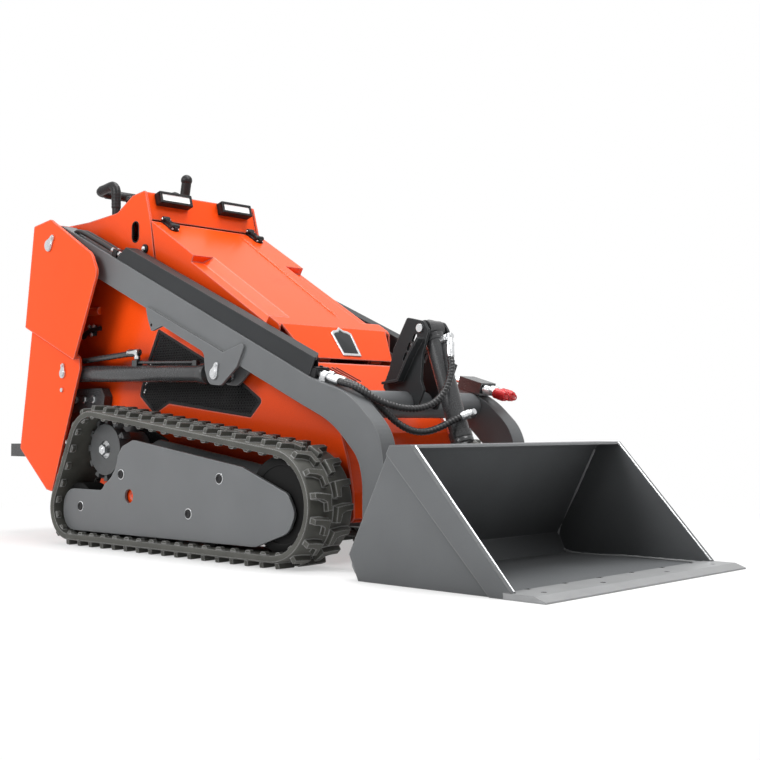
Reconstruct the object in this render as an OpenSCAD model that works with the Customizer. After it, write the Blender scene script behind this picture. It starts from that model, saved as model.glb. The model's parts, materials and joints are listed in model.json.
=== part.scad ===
// Compact track loader with a bucket, millimetres, +X to the bucket, +Z up
// The right side (negative Y) faces the viewer of the reference picture

/* [Bucket] */
// Width across the bucket's side plates
bucket_w = 1000; // [900:2:1200]
// Sheet thickness of the bucket's shell
bucket_t = 8; // [5:1:12]
// Cutting edge's length from its back to its tip
edge_l = 128; // [100:2:150]
// Cutting edge's thickness
edge_t = 16; // [10:1:20]
// Thickness of the strip on the side plates
strip_t = 10; // [6:1:14]

/* [Lift arms] */
// Clearance between the body's side and an arm
arm_gap = 22; // [18:1:40]
// Width of one arm's tube
arm_w = 60; // [50:2:62]
// Diameter of the tube across the arms
cross_d = 84; // [60:2:92]
// Thickness of bracket plates on the arms
bracket_t = 10; // [6:1:10]
// Height of the hose guard on the arm
guard_h = 56; // [40:2:60]

/* [Pins] */
// Diameter of the arms' pivot pins
pivot_d = 40; // [30:1:46]
// Diameter of the bucket's pivot pins
bucket_pin_d = 32; // [24:1:36]
// Diameter of the cylinder pins
cyl_pin_d = 26; // [20:1:30]
// Diameter of the hood's hinge pins
hinge_d = 12; // [8:1:14]
// Radial clearance of a pin in its bore
pin_gap = 0.05; // [0.02:0.01:0.1]

/* [Cylinders] */
// Diameter of a lift cylinder's barrel
lift_barrel_d = 60; // [50:1:64]
// Diameter of a lift cylinder's rod
lift_rod_d = 32; // [25:1:38]
// Diameter of the tilt cylinder's barrel
tilt_barrel_d = 63; // [50:1:66]
// Diameter of the tilt cylinder's rod
tilt_rod_d = 28; // [22:1:34]

/* [Track] */
// Clearance between the body's side and a belt
track_gap = 42; // [38:1:60]
// Width of one track belt
track_w = 180; // [170:2:190]
// Thickness of the belt
belt_t = 22; // [16:1:24]
// Height of the lugs
lug_h = 18; // [12:1:24]
// Number of lugs around each half of a belt
lugs = 46; // [40:1:50]
// Thickness of the track frame's plates
frame_t = 10; // [6:1:12]
// Radius of the access hole in the track frame
access_r = 24; // [16:1:30]

/* [Body] */
// Width across the body's side plates
body_w = 516; // [500:2:520]
// Thickness of the side plates
side_t = 8; // [5:1:10]
// Thickness of sheet covers
sheet_t = 5; // [3:1:6]
// Gap around the hood
hood_gap = 6; // [5:1:8]

/* [Hidden] */
$fn = 48;
// Right half's faces, all measured from the middle plane
body_y = body_w / 2;
arm_y0 = body_y + arm_gap;
arm_y1 = arm_y0 + arm_w;
arm_ym = (arm_y0 + arm_y1) / 2;
track_y0 = body_y + track_gap;
track_y1 = track_y0 + track_w;
track_ym = (track_y0 + track_y1) / 2;
tower_hi = arm_y1 + 46;
tower_lo = arm_y1 + 20;
tower_t = 10;
// Pivots in the side view
A = [-1006, 1102];
C = [-944, 617];
D = [-62, 592];
P = [645, 116];
T = [572, 724];
E = [734, 262];
H = [204, 640];
// Lengths of the cylinders at rest
lift_l = norm(D - C);
lift_a = atan2(D[1] - C[1], D[0] - C[0]);
tilt_l = norm(E - T);
tilt_a = atan2(E[1] - T[1], E[0] - T[0]);
lift_eye_r = 30;
tilt_eye_r = 17;
// Track wheels, centre and belt's outer radius
sprocket_c = [-590, 338];
rear_c = [-722, lug_h + 112];
front_c = [354, lug_h + 170];
wheels = [[rear_c, 112], [front_c, 170], [sprocket_c, 137]];
frame_y1 = track_y1 - 36;
frame_y0 = track_y0 + 26;
lean = atan2(844 - 697, 353 - 71);
// Hood's slope and the channels along its top edges
hood_top = [-538, 1158];
hood_low = H + [-60, 112];
hood_slope = atan2(hood_top[1] - hood_low[1], hood_low[0] - hood_top[0]);
channel_x0 = 286;
channel_l = 456;
channel_d = 26;
channel_y0 = body_y - 90;
channel_y1 = body_y - 50;

function unit(v) = v / norm(v);

// Points that round one corner of an outline
function fillet(a, b, c, r, n) =
    r <= 0 ? [b] :
    let(u = unit(a - b), v = unit(c - b))
    let(h = acos(max(-0.9999, min(0.9999, u * v))) / 2)
    let(d = min(r / tan(h), 0.48 * min(norm(a - b), norm(c - b))))
    let(q = d * tan(h), m = b + unit(u + v) * q / sin(h))
    let(s = b + u * d - m, e = b + v * d - m)
    let(a0 = atan2(s[1], s[0]), t = atan2(e[1], e[0]) - a0)
    let(w = t > 180 ? t - 360 : t < -180 ? t + 360 : t)
    [for (i = [0 : n]) m + q * [cos(a0 + w * i / n), sin(a0 + w * i / n)]];

// Outline with rounded corners, each point given as x, z and radius
function rounded(p, n = 5) =
    [for (i = [0 : len(p) - 1])
        let(k = len(p))
        let(a = p[(i + k - 1) % k], b = p[i], c = p[(i + 1) % k])
        each fillet([a[0], a[1]], [b[0], b[1]], [c[0], c[1]], b[2], n)];

// Plate in the side view, from y0 on by its thickness
module plate(points, y0, t) {
    translate([0, y0 + t, 0])
        rotate([90, 0, 0])
            linear_extrude(t)
                polygon(points);
}

// Round bar across the machine at a point of the side view
module bar(c, r, y0, y1) {
    translate([c[0], y1, c[1]])
        rotate([90, 0, 0])
            cylinder(h = y1 - y0, r = r);
}

// Straight round bar between two points
module rod(a, b, r) {
    v = b - a;
    translate(a)
        rotate([0, acos(v[2] / norm(v)), atan2(v[1], v[0])])
            cylinder(h = norm(v), r = r);
}

// Strip along a line of the side view, to its right as one goes from a to b
module strip(a, b, w, y0, t) {
    d = unit(b - a);
    n = [d[1], -d[0]];
    plate([a, b, b + n * w, a + n * w], y0, t);
}

// Open line moved to its right by w and turned round, to close a band
function moved_in(p, w) =
    let(k = len(p) - 1)
    let(n = [for (i = [0 : k - 1]) let(d = unit(p[i + 1] - p[i])) [d[1], -d[0]]])
    [for (i = [k : -1 : 0])
        i == 0 ? p[0] + n[0] * w :
        i == k ? p[k] + n[k - 1] * w :
        p[i] + (n[i - 1] + n[i]) * w / (1 + n[i - 1] * n[i])];

// Left pieces mirror the right ones
module left() {
    mirror([0, 1, 0])
        children();
}

// Ring of points around a point of a tube, across its way
function ring(p, way, r, n, side) =
    let(t = unit(way), a = unit(cross(t, side)), b = cross(t, a))
    [for (i = [0 : n - 1]) p + r * (cos(i * 360 / n) * a + sin(i * 360 / n) * b)];

// Tube swept through its points, with its way given at both ends; it never runs along side
module sweep(p, t0, t1, r, n, side) {
    k = len(p);
    way = [for (i = [0 : k - 1])
        i == 0 ? t0 : i == k - 1 ? t1 : unit(p[i + 1] - p[i]) + unit(p[i] - p[i - 1])];
    pts = [for (i = [0 : k - 1]) each ring(p[i], way[i], r, n, side)];
    sides = [for (i = [0 : k - 2])
        for (j = [0 : n - 1])
            let(a = i * n + j, b = i * n + (j + 1) % n)
            each [[a, b, b + n], [a, b + n, a + n]]];
    first = [for (j = [n - 1 : -1 : 0]) j];
    last = [for (j = [0 : n - 1]) (k - 1) * n + j];
    polyhedron(points = pts, faces = concat(sides, [first, last]), convexity = 6);
}

// Points of a round bend at a corner, from one way to another
function bend(p, d0, d1, br, n = 7) =
    let(turn = acos(d0 * d1), m = unit(d1 - (d1 * d0) * d0))
    let(c = p - br * tan(turn / 2) * d0 + br * m)
    [for (i = [0 : n]) c + br * (sin(turn * i / n) * d0 - cos(turn * i / n) * m)];

// Belt loop, its outline worked out from the three wheels
function tangent_n(a, b) =
    let(v = b[0] - a[0], k = (a[1] - b[1]) / norm(v), d = unit(v))
    d * k + [d[1], -d[0]] * sqrt(1 - k * k);
normals = [for (i = [0 : 2]) tangent_n(wheels[i], wheels[(i + 1) % 3])];
angs = [for (n = normals) atan2(n[1], n[0])];
sweeps = [for (i = [0 : 2]) (angs[i] - angs[(i + 2) % 3] + 720) % 360];
arcs = [for (i = [0 : 2]) wheels[i][1] * sweeps[i] * PI / 180];
runs = [for (i = [0 : 2])
    let(a = wheels[i], b = wheels[(i + 1) % 3])
    sqrt(pow(norm(b[0] - a[0]), 2) - pow(a[1] - b[1], 2))];
starts = [0, arcs[0] + runs[0], arcs[0] + runs[0] + arcs[1] + runs[1]];
loop_l = starts[2] + arcs[2] + runs[2];
pitch = loop_l / lugs;
// Shoulder outside the lugs and a lug's reach inwards
lug_in = 13;
lug_w = track_w / 2 - lug_in - 11;

// Point on the loop at a length s, raised by h
function on_loop(s0, h) =
    let(s = ((s0 % loop_l) + loop_l) % loop_l)
    let(i = s < starts[1] ? 0 : s < starts[2] ? 1 : 2)
    let(q = s - starts[i], w = wheels[i], a0 = angs[(i + 2) % 3])
    let(a = a0 + min(q, arcs[i]) / w[1] * 180 / PI)
    let(f = max(0, q - arcs[i]), n = [cos(a), sin(a)])
    w[0] + n * (w[1] + h) + f * [-n[1], n[0]];

// Closed line around the wheels, moved in by d
function loop_line(d) =
    [for (i = [0 : 2])
        for (k = [0 : 14])
            let(a = angs[(i + 2) % 3] + sweeps[i] * k / 14)
            wheels[i][0] + (wheels[i][1] - d) * [cos(a), sin(a)]];

// One hooked lug at a length s of the loop: a bar from y0 inwards, its inner end bent along the travel
module lug(s, y0, w) {
    a = on_loop(s - 30, 0);
    d = unit(on_loop(s + 18, 0) - a);
    p = a + 30 * d;
    translate([p[0], 0, p[1]])
        rotate([0, -atan2(d[1], d[0]), 0])
            rotate([180, 0, 0])
                translate([0, 0, -8])
                    linear_extrude(lug_h + 8)
                        polygon([
                            [2, -y0], [18, -y0], [12, -y0 - w],
                            [-30, -y0 - w], [-30, -y0 - 0.72 * w], [-6, -y0 - 0.72 * w]
                        ]);
}

module belt() {
    union() {
        difference() {
            plate(loop_line(0), -track_y1, track_w);
            plate(loop_line(belt_t), -track_y1 - 1, track_w + 2);
        }
        for (i = [0 : lugs - 1]) {
            lug(i * pitch, -track_y1 + lug_in, lug_w);
            lug((i + 0.5) * pitch, -track_y0 - lug_in, -lug_w);
        }
    }
}

// Rubber track, two staggered rows of lugs
module track_right() {
    color([0.08, 0.08, 0.08])
        belt();
}

module track_left() {
    color([0.08, 0.08, 0.08])
        left()
            belt();
}

// Track frame, two plates with spacers and a beam to the body
module frame_side() {
    o = rounded([
        [-800, 50, 66], [252, 56, 60], [398, 106, 50], [430, 165, 40],
        [396, 222, 30], [188, 296, 60], [-378, 374, 14], [-440, 352, 20],
        [-560, 198, 30], [-800, 198, 66]
    ]);
    difference() {
        union() {
            plate(o, -frame_y1, frame_t);
            plate(o, -frame_y0 - frame_t, frame_t);
            bar([-446, 256], 18, -frame_y1 + 1, -frame_y0 - 1);
            bar([80, 257], 18, -frame_y1 + 1, -frame_y0 - 1);
            translate([-330, -frame_y0 - 1, 190])
                cube([330, frame_y0 + 1 - body_y, 110]);
        }
        bar(sprocket_c, 126, -frame_y1 - 1, -frame_y0 + 1);
        bar([-400, 184], access_r, -frame_y1 - 1, -frame_y1 + frame_t + 1);
        bar([-400, 184], access_r + 8, -frame_y0 - frame_t - 1, -frame_y0 + 1);
    }
}

module track_frame_right() {
    color([0.42, 0.44, 0.45])
        frame_side();
}

module track_frame_left() {
    color([0.42, 0.44, 0.45])
        left()
            frame_side();
}

// Wheels inside the belts, each on its own axle
module wheel_set() {
    g = 0.3;
    for (w = [[rear_c, 112 - belt_t - 1.4], [front_c, 170 - belt_t - 1.4]]) {
        bar(w[0], w[1], -track_ym - 38, -track_ym + 38);
        bar(w[0], 20, -frame_y1 + frame_t, -frame_y0 - frame_t);
    }
    for (x = [-500, -240, 20]) {
        bar([x, lug_h + belt_t + g + 44], 44, -track_ym - 38, -track_ym + 38);
        bar([x, lug_h + belt_t + g + 44], 16, -frame_y1 + frame_t, -frame_y0 - frame_t);
    }
}

module track_wheels() {
    color([0.12, 0.12, 0.13]) {
        wheel_set();
        left()
            wheel_set();
    }
}

// Drive sprocket with its motor drum and hub
module sprocket_side() {
    teeth = 12;
    difference() {
        union() {
            bar(sprocket_c, 90, -track_ym - 22, -track_ym + 20);
            for (i = [0 : teeth - 1])
                translate([sprocket_c[0], -track_ym, sprocket_c[1]])
                    rotate([0, i * 360 / teeth, 0]) {
                        translate([86, -18, -7])
                            cube([20, 36, 14]);
                        translate([101, -16, -14])
                            cube([10, 32, 22]);
                    }
        }
        bar(sprocket_c, 32, -track_ym - 23, -track_ym - 12);
    }
    bar(sprocket_c, 13, -track_ym - 36, -track_ym - 11);
    bar(sprocket_c, 62, -track_ym + 19, -body_y);
}

module sprockets() {
    color([0.3, 0.31, 0.32]) {
        sprocket_side();
        left()
            sprocket_side();
    }
}

// Floor of the body with its front and rear cross members
module belly_pan() {
    w = body_w - 2 * side_t;
    color([0.9, 0.28, 0.08])
        union() {
            translate([-1050, -w / 2, 130])
                cube([1525, w, 10]);
            translate([-1050, -w / 2, 139])
                cube([10, w, 170]);
            translate([300, -w / 2, 139])
                cube([10, w, 120]);
        }
}

// Side plate outline: rear post, console side, hood seam and rounded nose
seam_a = [-500, 940];
seam_b = H + [10, 0];
hood_front = H + [18, 0];
side_line = rounded([
    [-1060, 130, 20], [-1120, 800, 0], [-1106, 1196, 20], [-937, 1197, 30],
    [-749, 1211, 30], [-655, 1263, 20], [-577, 1274, 8], [-545, 1165, 0],
    [seam_a[0] - 4, seam_a[1], 4], [H[0] + 14, H[1] - 12, 4],
    [395, 450, 20], [430, 402, 40], [460, 319, 60], [480, 220, 60], [484, 130, 20]
]);

// Window for the grille, with a step in its lower edge
grille_line = rounded([
    [-492, 766, 8], [-550, 659, 30], [-591, 561, 20], [-600, 528, 14], [-512, 462, 12],
    [-427, 499, 10], [12, 449, 12], [72, 504, 12], [-27, 564, 10]
]);

module side_plate() {
    difference() {
        plate(side_line, -body_y, side_t);
        bar(A, pivot_d / 2 + pin_gap, -body_y - 1, -body_y + side_t + 1);
        plate(grille_line, -body_y - 1, side_t + 2);
        for (z = [1110, 1146])
            bar([-634, z], 20, -body_y - 1, -body_y + side_t + 1);
        translate([-654, -body_y - 1, 1110])
            cube([40, side_t + 2, 36]);
    }
}

module side_plate_right() {
    color([0.95, 0.3, 0.08])
        side_plate();
}

module side_plate_left() {
    color([0.95, 0.3, 0.08])
        left()
            side_plate();
}

// Slatted grille filling the side plate's window, a row of slots for each height, first x and count
slot_rows = [
    [474, -520, 1], [496, -540, 3], [496, -290, 7], [518, -580, 13], [540, -560, 13], [562, -570, 12],
    [584, -540, 10], [606, -550, 9], [628, -520, 7], [650, -530, 6], [672, -500, 4], [694, -510, 3],
    [716, -480, 1]
];
module grille_side() {
    difference() {
        plate(grille_line, -body_y, side_t);
        for (r = slot_rows)
            for (i = [0 : r[2] - 1])
                translate([r[1] + 44 * i, -body_y - 1, r[0]])
                    cube([34, side_t - 2, 13]);
    }
}

module grille_right() {
    color([0.05, 0.05, 0.05])
        grille_side();
}

module grille_left() {
    color([0.05, 0.05, 0.05])
        left()
            grille_side();
}

// Front cover below the hood
module front_cover() {
    w = body_w - 2 * side_t;
    top = H + [26, -14];
    o = [
        top, [392, 446], [426, 400], [456, 319], [476, 220], [481, 140.2],
        [475, 140.2], [470, 220], [450, 318], [421, 397], [388, 441], top - [0, 9]
    ];
    fall = (top[1] - 446) / (392 - top[0]);
    foot = -14 - 18 * fall;
    heel = -14 - 12.6 * fall;
    ear = [for (p = [
        [-9, 0], [-9, foot - 10], [40, foot - 10], [40, foot], [28, heel], [2, heel], [2, 0]
    ]) H + p];
    color([0.95, 0.32, 0.1])
        union() {
            difference() {
                plate(o, -w / 2, w);
                for (i = [0 : 3])
                    translate([top[0], 0, top[1]])
                        rotate([0, 48, 0])
                            translate([22, -156 + 20 * i, 0])
                                rotate([0, 0, 52])
                                    translate([0, -3.5, -40])
                                        cube([96, 7, 80]);
            }
            for (y = [-152, -96, 88, 144]) {
                plate(ear, y, 8);
                bar(H, hinge_d / 2 + 3, y, y + 8);
            }
            for (y = [-148, 92])
                bar(H, hinge_d / 2, y, y + 56);
        }
}

// Rear panel behind the engine bay, facing the operator
module rear_panel() {
    w = body_w - 2 * side_t;
    color([0.9, 0.28, 0.08])
        difference() {
            translate([-1050, -w / 2, 309])
                cube([8, w, 791]);
            for (i = [0 : 5])
                translate([-1051, -150, 480 + 36 * i])
                    cube([10, 300, 16]);
        }
}

// Console top: deck, raised dash and front face
module console() {
    w = body_w - 2 * side_t;
    color([0.95, 0.32, 0.1])
        union() {
            plate([
                [-1050, 1100], [-1050, 1190], [-938, 1193], [-750, 1207], [-656, 1259], [-580, 1270],
                [-551, 1166], [-556, 1165], [-584, 1264], [-654, 1253], [-748, 1201], [-937, 1187],
                [-1044, 1184], [-1044, 1100]
            ], -w / 2, w);
        }
}

// Dark instrument panel on the console's deck
module instrument_panel() {
    color([0.06, 0.06, 0.06])
        union() {
            plate([[-930, 1193.6], [-757, 1206.5], [-757.5, 1216], [-930, 1203]], -170, 340);
            for (y = [-85, -15])
                translate([-800, y, 1206])
                    cylinder(h = 14, r = 26);
            translate([-850, 0, 1204])
                cylinder(h = 14, r = 12);
        }
}

// Grab bar, bent back over the operator's edge
grab_r = 16;
grab_bend = 32;
grab_top = [-915, -150, 1356];
grab_rear = [-1045, -150, 1340];

grab_foot = [-915, -150, 1204.2];
deck_up = unit([1203 - 1216, 0, 930 - 757.5]);
module grab_bar() {
    up = [0, 0, 1];
    way = unit(grab_rear - grab_top);
    corners = concat(bend(grab_top, up, way, grab_bend), bend(grab_rear, way, [0, 1, 0], grab_bend));
    half = concat([grab_foot], corners);
    other = [for (i = [len(half) - 1 : -1 : 0]) [half[i][0], -half[i][1], half[i][2]]];
    color([0.05, 0.05, 0.05])
        sweep(concat(half, other), deck_up, -deck_up, grab_r, 16, [1, 3, 4]);
}

// Drive levers and the joystick
module levers() {
    color([0.05, 0.05, 0.05])
        difference() {
            union() {
                rod([-790, 60, 1190], [-752, 60, 1340], 11);
                rod([-757, 60, 1322], [-747, 60, 1372], 19);
                translate([-747, 60, 1378])
                    sphere(r = 22);
                rod([-880, -110, 1190], [-868, -120, 1290], 7);
                translate([-868, -120, 1292])
                    sphere(r = 17);
                rod([-880, 110, 1190], [-868, 120, 1290], 7);
                translate([-868, 120, 1292])
                    sphere(r = 17);
            }
            plate([
                [-1000, 1150], [-700, 1150], [-700, 1220.3], [-757.5, 1216], [-930, 1203], [-1000, 1198]
            ], -300, 600);
        }
}

// Dark cover on a side plate around the drive, with a valve block between tower and track
module drive_cover() {
    difference() {
        union() {
            plate([[-1015, 472], [-780, 472], [-770, 530], [-793, 560], [-1015, 560]], -body_y - 36, 36);
            plate([
                [-1045, 300], [-1045, 478], [-690, 478], [-600, 440], [-428, 372], [-428, 300],
                [-700, 226], [-830, 226]
            ], -body_y - 5, 5);
        }
        bar(sprocket_c, 64, -body_y - 6, -body_y + 1);
    }
    for (x = [-960, -900, -840])
        bar([x, 520], 11, -body_y - 46, -body_y - 35);
}

module drive_covers() {
    color([0.06, 0.06, 0.06]) {
        drive_cover();
        left()
            drive_cover();
    }
}

// Engine, one plain block on the floor
module engine_block() {
    color([0.1, 0.1, 0.1])
        union() {
            translate([-400, -170, 230])
                cube([450, 340, 390]);
            translate([-380, -150, 140])
                cube([60, 300, 91]);
            translate([-30, -150, 140])
                cube([60, 300, 91]);
        }
}

// Stand-on platform behind the towers
module platform() {
    color([0.12, 0.12, 0.13])
        union() {
            translate([-1364, -tower_lo + 30, 300])
                cube([110, 2 * tower_lo - 60, 50]);
            translate([-1260, -body_y + 18, 300])
                cube([210, body_w - 36, 50]);
        }
}

// Work lamps on the console's front face
module lamp_at(y) {
    translate([-564, y, 1246])
        rotate([0, -15.6, 0])
            children();
}

module lamp_housings() {
    color([0.05, 0.05, 0.05])
        for (s = [-1, 1])
            lamp_at(s * (body_y - 114))
                difference() {
                    translate([-8.1, -72, -22])
                        cube([32, 144, 44]);
                    translate([18, -62, -13])
                        cube([8, 124, 26]);
                }
}

module lamp_lenses() {
    color([0.95, 0.96, 0.98])
        for (s = [-1, 1])
            lamp_at(s * (body_y - 114))
                translate([18, -62, -13])
                    cube([4, 124, 26]);
}

// Tower around the arm's pivot: outer plates, step, back and top
module tower_side() {
    hi = rounded([
        [-1113, 1185, 8], [-998, 1200, 10], [-724, 1046, 70], [-686, 976, 40], [-835, 663, 6], [-1171, 800, 6]
    ]);
    lo = rounded([
        [-1162, 806, 0], [-836, 673, 20], [-833, 630, 10], [-1013, 173, 10], [-1052, 180, 6], [-1243, 333, 6]
    ]);
    back = [[-1060, 189], [-1239, 334], [-1109, 1182], [-1042, 1190]];
    wrap = [[-1168, 803], [-1110, 1181], [-1044, 1189]];
    difference() {
        union() {
            plate(hi, -tower_hi, tower_t);
            plate(lo, -tower_lo, tower_t);
            strip([-840, 668], [-1162, 799.5], 10, -tower_hi + 4, tower_hi - tower_lo + 2);
            plate(concat(back, moved_in(back, 8)), -tower_lo + 5, tower_lo - 5 - body_y);
            plate(concat(wrap, moved_in(wrap, 8)), -tower_hi + 5, tower_hi - tower_lo + 3);
        }
        bar(A, pivot_d / 2 + pin_gap, -tower_hi - 1, -tower_hi + tower_t + 1);
        bar(C, cyl_pin_d / 2 + pin_gap, -tower_lo - 1, -tower_lo + tower_t + 1);
    }
}

module tower_right() {
    color([0.95, 0.32, 0.1])
        tower_side();
}

module tower_left() {
    color([0.95, 0.32, 0.1])
        left()
            tower_side();
}

// Drop-shaped lock flag on a pin's end, its bolt at the narrow end
module flag(c, r, way, y) {
    e = c + unit(way) * r * 1.6;
    n = [unit(way)[1], -unit(way)[0]];
    bar(c, r, y - 6, y);
    bar(e, 0.5 * r, y - 6, y);
    bar(e, 0.3 * r, y - 11, y - 5);
    plate([c + n * 0.96 * r, e + n * 0.46 * r, e - n * 0.46 * r, c - n * 0.96 * r], y - 5.8, 5.8);
}

// Pivot pins of the arms and of the lift cylinders, with their lock flags
module tower_pin_set() {
    bar(A, pivot_d / 2, -tower_hi - 9, -body_y + side_t);
    flag(A, pivot_d / 2 + 3, [1, 1], -tower_hi);
    bar(C, cyl_pin_d / 2, -tower_lo - 9, -body_y);
    flag(C, cyl_pin_d / 2 + 5, [0.1, 1], -tower_lo);
    bar(C + [-4, -62], 8, -tower_lo - 6, -tower_lo);
}

module tower_pins() {
    color([0.75, 0.76, 0.77]) {
        tower_pin_set();
        left()
            tower_pin_set();
    }
}

// Channel along one top edge of the hood: floor, sloping inner wall and two end walls
module hood_channel(s, grow) {
    translate([hood_top[0], 0, hood_top[1]])
        rotate([0, hood_slope, 0])
            translate([channel_x0 - grow, 0, 0])
                rotate([90, 0, 90])
                    linear_extrude(channel_l + 2 * grow)
                        polygon([
                            [s * (body_y + 20), 20], [s * (body_y + 20), -channel_d - grow],
                            [s * (channel_y1 - grow), -channel_d - grow], [s * (channel_y0 - grow), 0.2],
                            [s * (channel_y0 - grow), 20]
                        ]);
}

// Hood with a raised middle, channels along its top edges and a steep apron
module hood() {
    y1 = body_y;
    color([0.95, 0.35, 0.12])
        difference() {
            union() {
                difference() {
                    plate([
                        hood_top, hood_low, hood_front, seam_b, [seam_a[0] + 4, seam_a[1] + hood_gap]
                    ], -y1, 2 * y1);
                    difference() {
                        plate([
                            hood_top - [7, 2.6], hood_low - [3, 5], hood_front - [6, 0], hood_front - [6, 60],
                            [seam_a[0] - 60, seam_a[1] - 60]
                        ], -y1 + sheet_t, 2 * y1 - 2 * sheet_t);
                        hood_channel(1, sheet_t);
                        hood_channel(-1, sheet_t);
                    }
                    hood_channel(1, 0);
                    hood_channel(-1, 0);
                }
                for (y = [-142, 98])
                    plate([for (p = [[-10, 10], [-10, -10], [10, -10], [13, 2], [10, 10]]) H + p], y, 44);
            }
            for (y = [-142, 98])
                bar(H, hinge_d / 2 + pin_gap, y - 1, y + 45);
            for (s = [-1, 1])
                translate([hood_low[0], s * (body_y - 15), H[1] - 40])
                    rotate([0, 0, -s * 31])
                        translate([0, s > 0 ? 0 : -90, 0])
                            cube([160, 90, 200]);
        }
}

// Rubber pull latches at the hood's rear edge
module hood_latches() {
    color([0.05, 0.05, 0.05])
        for (s = [-1, 1])
            translate([-510, s * (body_y - 58), 1144])
                rotate([0, 30.8, 0])
                    translate([-36, -16, -2.2])
                        cube([80, 32, 22]);
}

// Upper edge of the arm's straight tube
function arm_top(x) = 1186 + (x + 1006) * (562 - 1186) / (398 + 1006);

// Lift arm in the side view: tube, elbow and leg
arm_line = rounded([
    [-1006, 1186, 30], [398, 562, 400], [545, 520, 300], [668, 410, 150], [688, 300, 280],
    [688, 66, 44], [602, 66, 44], [602, 262, 240], [584, 330, 120], [478, 432, 330], [340, 489, 200],
    [-960, 1052, 30], [-1056, 1052, 46], [-1066, 1120, 46]
], 7);

module arm_side() {
    difference() {
        union() {
            plate(arm_line, -arm_y1, arm_w);
            plate(rounded([
                [-443, 838, 6], [-428, 790, 10], [-409, 748, 10], [-347, 764, 20], [-118, 664, 30],
                [-112, 606, 20], [-92, 558, 30], [-30, 552, 30], [50, 612, 14], [92, 690, 10], [-20, 660, 10]
            ]), -arm_y1 - bracket_t, bracket_t);
            plate(rounded([
                [-60, 690, 10], [-118, 664, 10], [-112, 606, 20], [-92, 558, 30], [-30, 552, 30],
                [50, 612, 14], [80, 640, 10]
            ]), -arm_y0, bracket_t);
        }
        bar(A, pivot_d / 2 + pin_gap, -arm_y1 - 1, -arm_y0 + 1);
        bar(P, bucket_pin_d / 2 + pin_gap, -arm_y1 - 1, -arm_y0 + 1);
        bar([-409, 770], 6, -arm_y1 - bracket_t - 1, -arm_y1 + 6);
    }
}

module arm_right() {
    color([0.4, 0.42, 0.43])
        arm_side();
}

module arm_left() {
    color([0.4, 0.42, 0.43])
        left()
            arm_side();
}

// Hose guards on top of the arms, open underneath for the lines
module guard_side() {
    a = [-640, arm_top(-640) + 0.2];
    b = [372, arm_top(372) + 0.2];
    u = unit(b - a);
    n = [-u[1], u[0]];
    difference() {
        plate([a, b, b + n * (guard_h + 4), a + n * guard_h + u * 40], -arm_y1 + 4, arm_w - 8);
        plate([
            a - u * 9, b + u * 9, b + u * 9 + n * (guard_h - 5), a - u * 9 + n * (guard_h - 5)
        ], -arm_y1 + 9, arm_w - 18);
        translate([b[0] + 22, -arm_y1 + 14, b[1] - 40])
            rotate([0, 0, -50])
                translate([-120, 0, 0])
                    cube([180, 120, 160]);
    }
}

module hose_guards() {
    color([0.4, 0.42, 0.43]) {
        guard_side();
        left()
            guard_side();
    }
}

// Round tube across the arms
module cross_tube() {
    color([0.4, 0.42, 0.43])
        bar([500, 488], cross_d / 2, -arm_y0, arm_y0);
}

// Bracket plates that carry the tilt cylinder
bracket_line = rounded([
    [516, 760, 10], [584, 745, 18], [604, 716, 18], [578, 640, 30], [572, 560, 30],
    [584, 532, 10], [552, 470, 10], [440, 510, 10], [412, 545, 10], [440, 600, 30], [458, 664, 30]
]);
// Bent gusset on each bracket plate and the slots beside it
gusset_line = [[586, 690], [548, 640], [500, 560], [432, 552]];
slot_way = [3.4, 7];
slot_side = [6.2, -3];
module tilt_bracket() {
    color([0.25, 0.26, 0.27])
        difference() {
            union() {
                plate(bracket_line, -52, bracket_t);
                plate(bracket_line, 52 - bracket_t, bracket_t);
                plate(concat(gusset_line, moved_in(gusset_line, 8)), -80, 29);
                plate(concat(gusset_line, moved_in(gusset_line, 8)), 51, 29);
            }
            for (p = [[546, 694], [524, 668], [508, 637]]) {
                bar(p - slot_way, 7, -60, 60);
                bar(p + slot_way, 7, -60, 60);
                plate([
                    p - slot_way - slot_side, p + slot_way - slot_side,
                    p + slot_way + slot_side, p - slot_way + slot_side
                ], -60, 120);
            }
            bar([500, 488], cross_d / 2, -60, 60);
            bar(T, cyl_pin_d / 2 + pin_gap, -60, 60);
        }
}

// Pins on the arms: bucket pivots, tilt pin and the rod eyes' lock heads
module arm_pin_set() {
    bar(P, bucket_pin_d / 2, -arm_y1 - 4, -arm_y0 + 30);
    bar(P, bucket_pin_d / 2 + 6, -arm_y1 - 10, -arm_y1);
    flag(D, cyl_pin_d / 2 + 6, [0.5, 1], -arm_y1 - bracket_t);
    bar(D, cyl_pin_d / 2, -arm_y1 - bracket_t - 9, -arm_y1 - bracket_t);
    bar(D, cyl_pin_d / 2 + 6, -arm_y0 + bracket_t, -arm_y0 + bracket_t + 6);
}

module arm_pins() {
    color([0.75, 0.76, 0.77]) {
        arm_pin_set();
        left()
            arm_pin_set();
        bar(T, cyl_pin_d / 2, -60, 60);
    }
}

// Frame on the flat top of the arm's elbow, X along the arm
elbow_a = [398, 562];
elbow_b = [545, 520];
elbow_turn = atan2(elbow_a[1] - elbow_b[1], elbow_b[0] - elbow_a[0]);
elbow_at = elbow_a + 32 * unit(elbow_b - elbow_a);
module on_elbow(y) {
    translate([elbow_at[0], y, elbow_at[1]])
        rotate([0, elbow_turn, 0])
            children();
}

// Round bar along X in a local frame
module xbar(x0, x1, r, z) {
    translate([x0, 0, z])
        rotate([0, 90, 0])
            cylinder(h = x1 - x0, r = r);
}

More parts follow.
